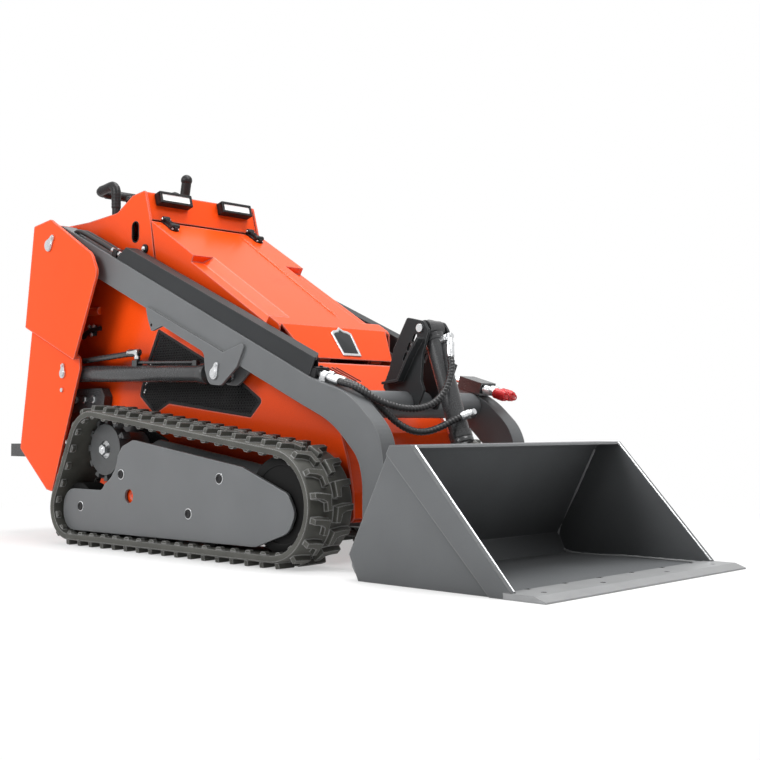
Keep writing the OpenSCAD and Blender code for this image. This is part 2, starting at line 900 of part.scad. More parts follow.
// Auxiliary couplers on the left arm's elbow
module couplers() {
    color([0.7, 0.71, 0.72])
        for (y = [-18, 18])
            on_elbow(arm_ym + y) {
                translate([60, -13, 8])
                    cube([40, 26, 28]);
                xbar(-30, 61, 8, 22);
                xbar(99, 166, 12, 22);
                xbar(122, 146, 14.5, 22);
            }
}

// Dark bracket that holds the couplers on the arm
module coupler_bracket() {
    color([0.06, 0.06, 0.06])
        on_elbow(arm_ym)
            difference() {
                translate([20, -38, 0])
                    cube([96, 76, 42]);
                translate([19, -33, 8])
                    cube([98, 66, 28]);
            }
}

// Red dust caps on the couplers
module coupler_caps() {
    color([0.75, 0.05, 0.06])
        for (y = [-18, 18])
            on_elbow(arm_ym + y) {
                xbar(166, 208, 16, 22);
                xbar(176, 198, 17.5, 22);
            }
}

// Hose ends on the right arm's elbow, on a foot, coming out of the guard
module hose_fittings() {
    color([0.7, 0.71, 0.72])
        on_elbow(-arm_ym)
            union() {
                translate([-26, -16, 0.9])
                    cube([26, 44, 9.1]);
                for (y = [-5, 20])
                    translate([0, y, 0]) {
                        xbar(y < 0 ? -86 : -60, hose_x, hose_r - 3, hose_z);
                        xbar(-20, 0, hose_r + 3, hose_z);
                        xbar(16, 44, hose_r + 1, hose_z);
                    }
            }
}

// Hose ends in the side view and the tilt cylinder's ports
hose_r = 11;
hose_x = 50;
hose_z = 16;
hose_way = [cos(elbow_turn), 0, -sin(elbow_turn)];
hose_at = [elbow_at[0], 0, elbow_at[1]] + hose_x * hose_way + hose_z * [sin(elbow_turn), 0, cos(elbow_turn)];
tilt_u = [cos(tilt_a), 0, sin(tilt_a)];
tilt_n = [-sin(tilt_a), 0, cos(tilt_a)];
port_up = [T[0], 0, T[1]] + 50 * tilt_u + 60 * tilt_n;
port_low = [T[0], 0, T[1]] + 300 * tilt_u + 66 * tilt_n;
end_up = port_up + [22, -22, -66];
end_low = port_low + [-18, -32, -13];
way_up = unit(port_up - end_up);
way_low = unit(port_low - end_low);
// Room at the tilt cylinder's hose ends for its swing
hose_play = 1.5;

// Upper hose, from the arm's outer hose end to the tilt cylinder's top port
module hose_upper() {
    color([0.05, 0.05, 0.05])
        sweep([
            hose_at + [0, -arm_ym - 5, 0],
            [500, -315, 550], [519, -312, 545], [538, -304, 537], [556, -290, 524], [573, -271, 509],
            [589, -247, 494], [604, -220, 483], [618, -191, 476], [632, -161, 473],
            [646, -132, 476], [659, -104, 486], [669, -80, 504], [677, -60, 529], [681, -45, 558],
            [680, -34, 588], [675, -27, 612], end_up - hose_play * way_up
        ], hose_way, way_up, hose_r, 10, [1, -1, 0]);
}

// Lower hose, from the arm's inner hose end to the tilt cylinder's lower port
module hose_lower() {
    color([0.05, 0.05, 0.05])
        sweep([
            hose_at + [0, -arm_ym + 20, 0],
            [500, -289, 550], [517, -283, 543], [533, -272, 533], [547, -259, 518], [559, -246, 500],
            [571, -231, 479], [583, -214, 458], [596, -196, 438], [610, -177, 421],
            [626, -157, 409], [643, -136, 404], [659, -116, 406], [674, -97, 413], [687, -78, 423],
            [698, -60, 434], [707, -46, 442], end_low - hose_play * way_low
        ], hose_way, way_low, hose_r, 10, [1, -1, 0]);
}

// Barrel along +X from its eye, with its gland
module barrel(d, l, eye_r, eye_w, rod_d, pin_r) {
    difference() {
        union() {
            translate([eye_r - 6, 0, 0])
                rotate([0, 90, 0])
                    cylinder(h = l - eye_r + 6, d = d);
            translate([l - 34, 0, 0])
                rotate([0, 90, 0])
                    cylinder(h = 30, d = d + 6);
            translate([0, eye_w / 2, 0])
                rotate([90, 0, 0])
                    cylinder(h = eye_w, r = eye_r);
        }
        translate([eye_r + 12, 0, 0])
            rotate([0, 90, 0])
                cylinder(h = l, d = rod_d + 2 * pin_gap);
        rotate([90, 0, 0])
            cylinder(h = eye_w + 2, r = pin_r, center = true);
    }
}

// Rod along +X towards its eye at the far end
module cyl_rod(l, back, eye_r, eye_w, rod_d, pin_r) {
    difference() {
        union() {
            translate([back, 0, 0])
                rotate([0, 90, 0])
                    cylinder(h = l - back - eye_r + 5, d = rod_d);
            translate([l, eye_w / 2, 0])
                rotate([90, 0, 0])
                    cylinder(h = eye_w, r = eye_r);
        }
    }
}

lift_end = lift_l - 78;
tilt_end = tilt_l - 114;

module at_lift() {
    translate([C[0], -arm_ym, C[1]])
        rotate([0, -lift_a, 0])
            children();
}

module at_tilt() {
    translate([T[0], 0, T[1]])
        rotate([0, -tilt_a, 0])
            children();
}

// Lift cylinder's barrel with its port, the hose back to the tower and the line forward to the gland
module lift_barrel() {
    h = lift_barrel_d / 2;
    union() {
        barrel(lift_barrel_d, lift_end, lift_eye_r, arm_w - 12, lift_rod_d, cyl_pin_d / 2 + pin_gap);
        translate([384, -13, h - 6])
            cube([28, 26, 24]);
        rod([398, 0, h + 12], [398, 0, h + 52], 9);
        rod([404, 0, h + 44], [352, 0, h + 42], 12);
        rod([360, 0, h + 42.4], [64, 0, h + 18], 10.5);
        rod([405, 0, h + 10], [732, 0, h + 10], 5);
        translate([722, -8, h - 6])
            cube([22, 16, 22]);
    }
}

module lift_barrel_right() {
    color([0.1, 0.1, 0.11])
        at_lift()
            lift_barrel();
}

module lift_barrel_left() {
    color([0.1, 0.1, 0.11])
        left()
            at_lift()
                lift_barrel();
}

module lift_rod_right() {
    color([0.8, 0.81, 0.82])
        at_lift()
            cyl_rod(lift_l, 60, lift_eye_r, arm_w - 24, lift_rod_d, cyl_pin_d / 2 + pin_gap);
}

module lift_rod_left() {
    color([0.8, 0.81, 0.82])
        left()
            at_lift()
                cyl_rod(lift_l, 60, lift_eye_r, arm_w - 24, lift_rod_d, cyl_pin_d / 2 + pin_gap);
}

module tilt_barrel() {
    color([0.1, 0.1, 0.11])
        at_tilt()
            barrel(tilt_barrel_d, tilt_end, 26, 66, tilt_rod_d, cyl_pin_d / 2 + pin_gap);
}

// Elbows on the tilt cylinder's two ports
module tilt_fittings() {
    h = tilt_barrel_d / 2;
    color([0.7, 0.71, 0.72])
        difference() {
            union() {
                for (p = [port_up, port_low]) {
                    rod(p - (66 - h + 6) * tilt_n, p + 10 * tilt_n, 9);
                    rod(p - (66 - h + 6) * tilt_n, p - 16 * tilt_n, 13);
                }
                rod(port_up + 8 * way_up, end_up, hose_r - 1);
                rod(end_up + 44 * way_up, end_up + 4 * way_up, hose_r + 1);
                rod(port_low, end_low, hose_r - 1);
                rod(end_low + 26 * way_low, end_low + 4 * way_low, hose_r + 1);
            }
            at_tilt()
                rotate([0, 90, 0])
                    cylinder(h = tilt_end, d = tilt_barrel_d);
        }
}

module tilt_rod() {
    color([0.8, 0.81, 0.82])
        at_tilt()
            cyl_rod(tilt_l, 90, tilt_eye_r, 40, tilt_rod_d, cyl_pin_d / 2 + pin_gap);
}

// Frame at the bucket's heel, its Z along the back plate
module on_back() {
    translate([697, 0, 71])
        rotate([0, lean, 0])
            children();
}

// Quick attach plate with ears for the arms' pins and the tilt rod
module quick_attach() {
    ear = rounded([
        [P[0] - 40, P[1], 38], [P[0] + 10, P[1] - 44, 38], [715, 92, 10], [800, 255, 10], [772, 264, 10],
        [P[0] + 8, P[1] + 44, 38]
    ]);
    lug = rounded([
        [E[0] - 26, E[1] + 6, 24], [E[0] - 4, E[1] - 28, 24], [740, 170, 6], [790, 250, 6], [822, 312, 6],
        [800, 318, 10], [E[0] + 6, E[1] + 28, 24]
    ]);
    color([0.2, 0.2, 0.21])
        difference() {
            union() {
                on_back()
                    translate([-16, -arm_y0, 20])
                        cube([16, 2 * arm_y0, 250]);
                for (s = [-1, 1]) {
                    intersection() {
                        plate(ear, s > 0 ? arm_y0 - 25 : -arm_y0 + 5, 20);
                        on_back()
                            translate([-300, -500, -200])
                                cube([300, 1000, 600]);
                    }
                    intersection() {
                        plate(lug, s > 0 ? 26 : -38, 12);
                        on_back()
                            translate([-300, -500, -200])
                                cube([300, 1000, 600]);
                    }
                }
            }
            bar(P, bucket_pin_d / 2 + pin_gap, -500, 500);
            on_back()
                translate([-17, -26, 140])
                    cube([18, 52, 131]);
        }
}

// Bucket shell: two sides, back, floor and a folded top edge
bucket_line = [[732, 0], [697, 71], [844, 353], [858, 372], [934, 372], [1262, edge_t], [1262, 0]];
module bucket_shell() {
    w = bucket_w - 2 * strip_t;
    color([0.1, 0.1, 0.1])
        difference() {
            union() {
                difference() {
                    plate(bucket_line, -w / 2, w);
                    plate([
                        [735, bucket_t], [697 + bucket_t + 1, 71], [844 + bucket_t, 350],
                        [862, 372 - bucket_t], [950, 372 - bucket_t], [950, 420], [1400, 420], [1400, bucket_t]
                    ], -w / 2 + bucket_t, w - 2 * bucket_t);
                }
                for (s = [-1, 1])
                    plate([[844, 347], [857.5, 371], [934, 372], [1262, edge_t], [1262, 0.5], [1192, 0.5]],
                        s > 0 ? w / 2 : -bucket_w / 2, strip_t);
            }
            plate([
                [1364 - edge_l, -1], [1364 - edge_l, edge_t], [1400, edge_t], [1400, -1]
            ], -bucket_w, 2 * bucket_w);
        }
}

// Flat steel cutting edge across the bucket's lip
module cutting_edge() {
    color([0.6, 0.6, 0.6])
        difference() {
            plate([[1364 - edge_l, 0], [1364, 0], [1364, 4], [1330, edge_t], [1364 - edge_l, edge_t]],
                -bucket_w / 2, bucket_w);
            for (y = [-420, -160, 160, 420])
                translate([1300, y, -1])
                    cylinder(h = edge_t + 2, r = 8);
        }
}

belly_pan();
side_plate_right();
side_plate_left();
grille_right();
grille_left();
front_cover();
rear_panel();
console();
instrument_panel();
grab_bar();
levers();
drive_covers();
engine_block();
platform();
lamp_housings();
lamp_lenses();
tower_right();
tower_left();
tower_pins();
track_frame_right();
track_frame_left();
track_wheels();
sprockets();
track_right();
track_left();
hood();
hood_latches();
arm_right();
arm_left();
hose_guards();
cross_tube();
tilt_bracket();
arm_pins();
couplers();
coupler_bracket();
coupler_caps();
hose_fittings();
hose_upper();
hose_lower();
tilt_fittings();
lift_barrel_right();
lift_barrel_left();
lift_rod_right();
lift_rod_left();
tilt_barrel();
tilt_rod();
quick_attach();
bucket_shell();
cutting_edge();
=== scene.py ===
import bpy, bmesh, json, math
from mathutils import Vector, Matrix

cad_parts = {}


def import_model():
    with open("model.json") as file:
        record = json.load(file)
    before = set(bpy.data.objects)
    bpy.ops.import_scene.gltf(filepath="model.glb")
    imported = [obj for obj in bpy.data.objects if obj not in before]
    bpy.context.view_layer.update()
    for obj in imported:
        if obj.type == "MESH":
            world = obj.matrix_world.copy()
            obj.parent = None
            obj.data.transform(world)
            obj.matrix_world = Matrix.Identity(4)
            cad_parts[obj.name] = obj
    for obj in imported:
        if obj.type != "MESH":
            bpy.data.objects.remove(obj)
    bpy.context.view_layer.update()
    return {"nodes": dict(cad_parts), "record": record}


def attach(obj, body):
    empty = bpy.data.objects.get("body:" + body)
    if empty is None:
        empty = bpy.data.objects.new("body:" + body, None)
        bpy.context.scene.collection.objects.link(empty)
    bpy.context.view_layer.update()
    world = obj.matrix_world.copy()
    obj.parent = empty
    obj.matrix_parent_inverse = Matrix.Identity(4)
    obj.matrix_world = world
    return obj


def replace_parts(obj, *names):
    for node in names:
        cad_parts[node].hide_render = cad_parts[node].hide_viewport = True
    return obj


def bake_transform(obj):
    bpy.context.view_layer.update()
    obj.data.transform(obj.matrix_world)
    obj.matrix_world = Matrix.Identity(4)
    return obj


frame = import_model()
scene = bpy.context.scene

# Camera at the photograph's angle, worked out from the machine's symmetry, in metres
EYE = Vector((3.101, -2.906, 0.427))
AIM = Vector((0.350, 0.0, 0.570))
LENS_LENGTH = 58.58
SENSOR_WIDTH = 36.0


def look_at(obj, place, target):
    obj.location = place
    obj.rotation_euler = (Vector(target) - Vector(place)).to_track_quat("-Z", "Y").to_euler()


def camera():
    scene.view_settings.view_transform = "Standard"
    scene.view_settings.look = "None"
    data = bpy.data.cameras.new("photo_camera")
    data.sensor_fit = "HORIZONTAL"
    data.sensor_width = SENSOR_WIDTH
    data.lens = LENS_LENGTH
    data.clip_end = 60
    cam = bpy.data.objects.new("photo_camera", data)
    scene.collection.objects.link(cam)
    look_at(cam, EYE, AIM)
    scene.camera = cam


camera()

# Materials: each is a procedural surface
RAMP_STOPS = (0.3, 0.7)
RELIEF_DEPTH = 0.002
# Painted edge highlights: where they start, where they are full, and the white they mix in
HIGHLIGHT_STARTS, HIGHLIGHT_FULL = 0.998, 0.93
HIGHLIGHT_WHITE = Vector((0.28, 0.28, 0.28))
# Painted shade near other surfaces: how far it looks, where it is full and where it starts
SHADE_REACH = 0.4
SHADE_FULL, SHADE_STARTS = 0.15, 0.75


def add_node(tree, kind, values=None, **settings):
    """New shader node with its settings, and then the values of its inputs."""
    node = tree.nodes.new(kind)
    for key, value in settings.items():
        setattr(node, key, value)
    for key, value in (values or {}).items():
        node.inputs[key].default_value = value
    return node


def painted_edge_highlights(tree, bevel, paint, color, edge_highlight):
    """Painted highlight: lighter paint where the rounded normal leaves the flat one, standing in for light
    caught by the edges.
    """
    link = tree.links.new
    flat = add_node(tree, "ShaderNodeNewGeometry")
    turn = add_node(tree, "ShaderNodeVectorMath", operation="DOT_PRODUCT")
    highlight_mask = add_node(tree, "ShaderNodeMapRange", {"From Min": HIGHLIGHT_STARTS, "From Max": HIGHLIGHT_FULL, "To Max": edge_highlight})
    pale = 0.5 * Vector(color) + HIGHLIGHT_WHITE
    light = add_node(tree, "ShaderNodeMix", {"B": (*pale, 1)}, data_type="RGBA")
    link(bevel.outputs["Normal"], turn.inputs[0])
    link(flat.outputs["Normal"], turn.inputs[1])
    link(turn.outputs["Value"], highlight_mask.inputs["Value"])
    link(highlight_mask.outputs["Result"], light.inputs["Factor"])
    link(paint, light.inputs["A"])
    return light.outputs["Result"]


def painted_crevice_shade(tree, paint, color, crevice_shade, shade_tint):
    """Painted shade: darker paint where other surfaces stand close by, standing in for the shade in crevices,
    recesses and under parts.
    """
    link = tree.links.new
    shade = add_node(tree, "ShaderNodeAmbientOcclusion", {"Distance": SHADE_REACH}, samples=6)
    level = add_node(tree, "ShaderNodeMapRange",
                     {"From Min": SHADE_FULL, "From Max": SHADE_STARTS, "To Min": 1 - crevice_shade})
    dim = add_node(tree, "ShaderNodeMix", {"A": (*(c * k for c, k in zip(color, shade_tint)), 1)}, data_type="RGBA")
    link(shade.outputs["AO"], level.inputs["Value"])
    link(level.outputs["Result"], dim.inputs["Factor"])
    link(paint, dim.inputs["B"])
    return dim.outputs["Result"]


def surface(name, color, rough, metal=0.0, vary=0.08, scale=9.0, bump=0.03, fine=240.0, edge=0.0015,
            coat=0.0, coat_rough=0.15, spec=0.5, rough_vary=0.10, edge_highlight=0.0, crevice_shade=0.0,
            shade_tint=(0.25, 0.25, 0.25), painted_glow=0.0):
    """Painted or bare surface: slow colour change, fine grain in gloss and relief, soft edges; it can also
    add painted highlights on the edges, painted shade near other surfaces and a faint painted glow.
    """
    m = bpy.data.materials.new(name)
    m.use_nodes = True
    t = m.node_tree
    link = t.links.new
    b = t.nodes["Principled BSDF"]
    b.inputs["Metallic"].default_value = metal
    b.inputs["Specular IOR Level"].default_value = spec
    b.inputs["Coat Weight"].default_value = coat
    b.inputs["Coat Roughness"].default_value = coat_rough
    b.inputs["Emission Color"].default_value = (1, 1, 1, 1)
    b.inputs["Emission Strength"].default_value = painted_glow
    co = add_node(t, "ShaderNodeTexCoord")
    slow = add_node(t, "ShaderNodeTexNoise", {"Scale": scale, "Detail": 5})
    grain = add_node(t, "ShaderNodeTexNoise", {"Scale": fine, "Detail": 3})
    ramp = add_node(t, "ShaderNodeValToRGB")
    for element, at, k in zip(ramp.color_ramp.elements, RAMP_STOPS, (1 - vary, 1 + vary)):
        element.position = at
        element.color = (*(Vector(color) * k), 1)
    mix = add_node(t, "ShaderNodeMix", {0: 0.5}, data_type="FLOAT")
    gloss = add_node(t, "ShaderNodeMapRange",
                     {"To Min": max(0.02, rough - rough_vary), "To Max": min(1.0, rough + rough_vary)})
    relief = add_node(t, "ShaderNodeBump", {"Strength": bump, "Distance": RELIEF_DEPTH})
    link(co.outputs["Object"], slow.inputs["Vector"])
    link(co.outputs["Object"], grain.inputs["Vector"])
    link(slow.outputs["Fac"], ramp.inputs["Fac"])
    link(slow.outputs["Fac"], mix.inputs[2])
    link(grain.outputs["Fac"], mix.inputs[3])
    link(mix.outputs[0], gloss.inputs["Value"])
    link(gloss.outputs["Result"], b.inputs["Roughness"])
    link(grain.outputs["Fac"], relief.inputs["Height"])
    link(relief.outputs["Normal"], b.inputs["Normal"])
    paint = ramp.outputs["Color"]
    if edge > 0:
        bevel = add_node(t, "ShaderNodeBevel", {"Radius": edge}, samples=4)
        link(bevel.outputs["Normal"], relief.inputs["Normal"])
        if edge_highlight > 0:
            paint = painted_edge_highlights(t, bevel, paint, color, edge_highlight)
    if crevice_shade > 0:
        paint = painted_crevice_shade(t, paint, color, crevice_shade, shade_tint)
    link(paint, b.inputs["Base Color"])
    return m


# Lighter edges on these surfaces are painted highlights
ORANGE = surface("orange_paint", (0.90, 0.078, 0.006), 0.30, vary=0.04, scale=3.0, bump=0.02, fine=420,
                 edge=0.007, coat=0.14, coat_rough=0.12, spec=0.12, edge_highlight=0.75, crevice_shade=0.6,
                 # painted shade: dark red in the orange paint's recesses
                 shade_tint=(0.16, 0.04, 0.04))
GREY = surface("grey_paint", (0.140, 0.146, 0.151), 0.42, vary=0.05, scale=6.0, bump=0.03, fine=380,
               edge=0.005, spec=0.28, edge_highlight=0.50)
GUARD = surface("guard_paint", (0.036, 0.038, 0.040), 0.46, vary=0.07, scale=6.0, bump=0.03, fine=380,
                edge=0.004, spec=0.1, edge_highlight=0.35)
# Bucket paint: painted shade darkens the inside of the bucket
BUCKET = surface("bucket_paint", (0.128, 0.134, 0.139), 0.45, vary=0.06, scale=5.0, bump=0.04, fine=300,
                 edge=0.005, spec=0.3, edge_highlight=0.60, crevice_shade=0.8)
DARK = surface("dark_paint", (0.040, 0.041, 0.043), 0.26, vary=0.10, scale=8.0, bump=0.03, fine=300,
               edge=0.002, edge_highlight=0.12)
BLACK = surface("black_plastic", (0.012, 0.012, 0.013), 0.42, vary=0.15, scale=20.0, bump=0.10, fine=600,
                edge=0.002, spec=0.25)
TRACK = surface("track_rubber", (0.060, 0.060, 0.052), 0.60, vary=0.22, scale=14.0, bump=0.22, fine=180,
                edge=0.005, spec=0.4, edge_highlight=0.95)
WHEEL = surface("wheel_black", (0.006, 0.006, 0.006), 0.6, vary=0.15, scale=20.0, bump=0.05, fine=400,
                edge=0.003, spec=0.12, edge_highlight=0.06)
HOSE = surface("hose_rubber", (0.015, 0.015, 0.016), 0.38, vary=0.15, scale=30.0, bump=0.12, fine=400,
               edge=0.0)
STEEL = surface("bright_steel", (0.66, 0.67, 0.68), 0.28, metal=1.0, vary=0.08, scale=18.0, bump=0.04,
                fine=500, edge=0.001)
CHROME = surface("rod_chrome", (0.78, 0.79, 0.80), 0.10, metal=1.0, vary=0.04, scale=10.0, bump=0.01,
                 fine=700, edge=0.001, rough_vary=0.04)
WEAR = surface("wear_steel", (0.27, 0.274, 0.278), 0.46, metal=0.2, vary=0.06, scale=12.0, bump=0.06,
               fine=260, edge=0.002)
IRON = surface("cast_iron", (0.075, 0.078, 0.080), 0.5, metal=0.2, vary=0.15, scale=12.0, bump=0.12,
               fine=260, edge=0.003, edge_highlight=0.2)
# Lamp lenses and gauge faces: a faint painted glow brightens them
LENS = surface("lamp_lens", (0.93, 0.94, 0.95), 0.15, vary=0.04, scale=160.0, bump=0.10, fine=300,
               edge=0.0, coat=0.4, painted_glow=0.15)
RED = surface("red_rubber", (0.62, 0.010, 0.014), 0.40, vary=0.08, scale=30.0, bump=0.08, fine=500,
              edge=0.001)

BY_SLOT = {
    "orange_paint": ORANGE, "grey_paint": GREY, "dark_paint": DARK, "black_plastic": BLACK,
    "track_rubber": TRACK, "hose_rubber": HOSE, "bright_steel": STEEL, "rod_chrome": CHROME,
    "wear_steel": WEAR, "cast_iron": IRON, "lamp_lens": LENS, "red_rubber": RED,
}
BY_NODE = {
    "bucket_shell": BUCKET, "hose_guards": GUARD, "tilt_bracket": GUARD, "track_wheels": WHEEL,
    "sprockets": IRON,
}
for s in frame["record"]["subparts"]:
    o = frame["nodes"][s["node"]]
    o.data.materials.clear()
    o.data.materials.append(BY_NODE.get(s["node"], BY_SLOT[s["material_slot"]]))

# Mesh building, in millimetres of the CAD frame
BEVEL_FROM = math.radians(40)


def across(axis):
    """Two unit vectors square to an axis."""
    a = Vector(axis).normalized()
    u = a.cross(Vector((0, 1, 0)) if abs(a.y) < 0.9 else Vector((1, 0, 0))).normalized()
    return u, a.cross(u)


def circle(n):
    """Angles of n even steps around a circle."""
    return [2 * math.pi * i / n for i in range(n)]


def axes(x, z):
    """Turn that brings the x and z axes to two directions in the side view."""
    return Matrix((x, Vector((0, 1, 0)), z)).transposed()


def square_to(way):
    """Direction a quarter turn from another one in the side view."""
    return Vector((-way.z, 0, way.x))


class Build:
    """Collects closed shapes that become one piece."""

    def __init__(self):
        self.verts, self.faces = [], []

    def add(self, verts, faces):
        k = len(self.verts)
        self.verts += [Vector(v) for v in verts]
        self.faces += [[i + k for i in f] for f in faces]

    def loft(self, rings, closed=False):
        n, k = len(rings[0]), len(rings)
        verts = [p for r in rings for p in r]
        faces = []
        for i in range(k if closed else k - 1):
            a, b = i * n, (i + 1) % k * n
            faces += [[a + j, a + (j + 1) % n, b + (j + 1) % n, b + j] for j in range(n)]
        if not closed:
            faces += [list(range(n))[::-1], list(range((k - 1) * n, k * n))]
        self.add(verts, faces)

    def box(self, center, size, turn=None):
        c, m = Vector(center), turn or Matrix.Identity(3)
        x, y, z = (v / 2 for v in size)
        square = [(-x, -y), (x, -y), (x, y), (-x, y)]
        self.loft([[c + m @ Vector((p[0], p[1], h)) for p in square] for h in (-z, z)])

    def rim(self, steps):
        """Closed ring from pairs of a side view outline (x, z) and its y."""
        self.loft([[Vector((x, y, z)) for x, z in line] for line, y in steps], closed=True)

    def plate(self, line, y0, y1):
        """Outline in the side view (x, z), from y0 to y1."""
        self.loft([[Vector((x, y, z)) for x, z in line] for y in (y0, y1)])

    def turned(self, at, axis, profile, n=28):
        """Turned shape: pairs of distance along the axis and radius."""
        a = Vector(axis).normalized()
        u, w = across(a)
        at = Vector(at)
        self.loft([[at + a * d + r * (u * math.cos(t) + w * math.sin(t)) for t in circle(n)]
                   for d, r in profile])

    def hexagon(self, at, axis, r, h):
        self.turned(at, axis, [(0, r), (h * 0.8, r), (h, r * 0.86)], n=6)

    def bolt(self, at, axis, r, h=None):
        """Hex head on a washer."""
        h = h or 0.8 * r
        a = Vector(axis).normalized()
        self.turned(at, a, [(-0.5, 1.5 * r), (0.18 * r, 1.5 * r), (0.24 * r, 1.42 * r)])
        self.hexagon(Vector(at) + a * 0.2 * r, a, r, h)

    def tube(self, path, radius, n=16):
        """Round tube along points; radius is a number or a function of the length and the turn."""
        path = [Vector(p) for p in path]
        last = len(path) - 1
        ways = [(path[min(i + 1, last)] - path[max(i - 1, 0)]).normalized() for i in range(last + 1)]
        size = radius if callable(radius) else lambda run, turn: radius
        u = across(ways[0])[0]
        rings, run = [], 0.0
        for i, (p, w) in enumerate(zip(path, ways)):
            run += (p - path[i - 1]).length if i else 0.0
            u = (u - w * u.dot(w)).normalized()
            v = w.cross(u)
            rings.append([p + size(run, t) * (u * math.cos(t) + v * math.sin(t)) for t in circle(n)])
        self.loft(rings)

    def mirrored(self):
        """The same shapes on the other side as well."""
        k = len(self.verts)
        self.verts += [Vector((v.x, -v.y, v.z)) for v in self.verts]
        self.faces += [[i + k for i in f][::-1] for f in self.faces]
        return self

    def other_side(self):
        self.verts = [Vector((v.x, -v.y, v.z)) for v in self.verts]
        self.faces = [f[::-1] for f in self.faces]
        return self

    def piece(self, name, material, body, slot, bevel=0.8, smooth=35):
        """One object, which rides its body; a blended piece has none."""
        me = bpy.data.meshes.new(name)
        me.from_pydata([v / 1000 for v in self.verts], [], self.faces)
        bm = bmesh.new()
        bm.from_mesh(me)
        bmesh.ops.recalc_face_normals(bm, faces=bm.faces)
        bm.to_mesh(me)
        bm.free()
        me.shade_smooth()
        me.set_sharp_from_angle(angle=math.radians(smooth))
        me.materials.append(material)
        obj = bpy.data.objects.new(name, me)
        scene.collection.objects.link(obj)
        if bevel > 0:
            mod = obj.modifiers.new("edges", "BEVEL")
            mod.width = bevel / 1000
            mod.segments = 2
            mod.limit_method = "ANGLE"
            mod.angle_limit = BEVEL_FROM
        if body:
            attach(obj, body)
        return obj


def spline(points, step):
    """Smooth line through points, sampled at about one step."""
    p = [Vector(q) for q in points]
    p = [2 * p[0] - p[1]] + p + [2 * p[-1] - p[-2]]
    out = []
    for i in range(1, len(p) - 2):
        a, b, c, d = p[i - 1:i + 3]
        n = max(2, round((c - b).length / step))
        for k in range(n):
            t = k / n
            at = 2 * b + (c - a) * t
            at += (2 * a - 5 * b + 4 * c - d) * t * t
            at += (3 * b - a - 3 * c + d) * t ** 3
            out.append(0.5 * at)
    return out + [p[-2]]


# Sizes and places shared with the CAD frame, in millimetres
RIGHT = (0, -1, 0)
LEFT = (0, 1, 0)
BODY_Y = 258
ARM_YM = 310
TRACK_YM = 390
FRAME_Y1 = 444
BELT_T = 22
LUG_H = 18
LUGS = 46

# Tilt cylinder: its two pins, its own directions and the ports of its hoses
TILT_TOP = Vector((572, 0, 724))
TILT_FOOT = Vector((734, 0, 262))
TILT_U = (TILT_FOOT - TILT_TOP).normalized()
TILT_N = square_to(TILT_U)
PORT_UP = TILT_TOP + 50 * TILT_U + 60 * TILT_N
PORT_LOW = TILT_TOP + 300 * TILT_U + 66 * TILT_N
END_UP = PORT_UP + Vector((22, -22, -66))
END_LOW = PORT_LOW + Vector((-18, -32, -13))
OUT_UP = (END_UP - PORT_UP).normalized()
OUT_LOW = (END_LOW - PORT_LOW).normalized()

# Elbow of the lift arm: the edge that carries the hose fittings and the couplers
ELBOW_BACK = Vector((398, 0, 562))
ELBOW_FRONT = Vector((545, 0, 520))
ELBOW_X = (ELBOW_FRONT - ELBOW_BACK).normalized()
ELBOW_Z = square_to(ELBOW_X)
ELBOW_AT = ELBOW_BACK + 32 * ELBOW_X
ELBOW_TURN = axes(ELBOW_X, ELBOW_Z)


def on_elbow(x, y, z):
    return ELBOW_AT + x * ELBOW_X + z * ELBOW_Z + Vector((0, y, 0))


# Hoses: spiral-wrapped, from the right arm to the tilt cylinder
HOSE_R = 11
HOSE_OUT, HOSE_H = 50, 16
HOSE_UP_Y, HOSE_LOW_Y = -315, -290
HOSE_PLAY = 1.5
HOSE_STEP = 1.6
WRAP_DEPTH, WRAP_PITCH = 1.6, 10.5
HOSES = {
    "hose_upper": [
        on_elbow(HOSE_OUT, HOSE_UP_Y, HOSE_H), (500, -315, 550), (519, -312, 545), (538, -304, 537),
        (556, -290, 524), (573, -271, 509), (589, -247, 494), (604, -220, 483), (618, -191, 476),
        (632, -161, 473), (646, -132, 476), (659, -104, 486), (669, -80, 504), (677, -60, 529),
        (681, -45, 558), (680, -34, 588), (675, -27, 612), END_UP + HOSE_PLAY * OUT_UP,
    ],
    "hose_lower": [
        on_elbow(HOSE_OUT, HOSE_LOW_Y, HOSE_H), (500, -289, 550), (517, -283, 543), (533, -272, 533),
        (547, -259, 518), (559, -246, 500), (571, -231, 479), (583, -214, 458), (596, -196, 438),
        (610, -177, 421), (626, -157, 409), (643, -136, 404), (659, -116, 406), (674, -97, 413),
        (687, -78, 423), (698, -60, 434), (707, -46, 442), END_LOW + HOSE_PLAY * OUT_LOW,
    ],
}


def wrap(run, turn):
    """Radius of a hose under its spiral wrap."""
    return HOSE_R - WRAP_DEPTH * (0.5 - 0.5 * math.cos(2 * math.pi * run / WRAP_PITCH - turn)) ** 2


for name, points in HOSES.items():
    path = spline(points, HOSE_STEP)
    b = Build()
    b.tube(path, wrap, n=18)
    hose = b.piece(name + "_wrap", HOSE, None, "hose_rubber", bevel=0, smooth=70)
    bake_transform(hose)
    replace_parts(hose, name)

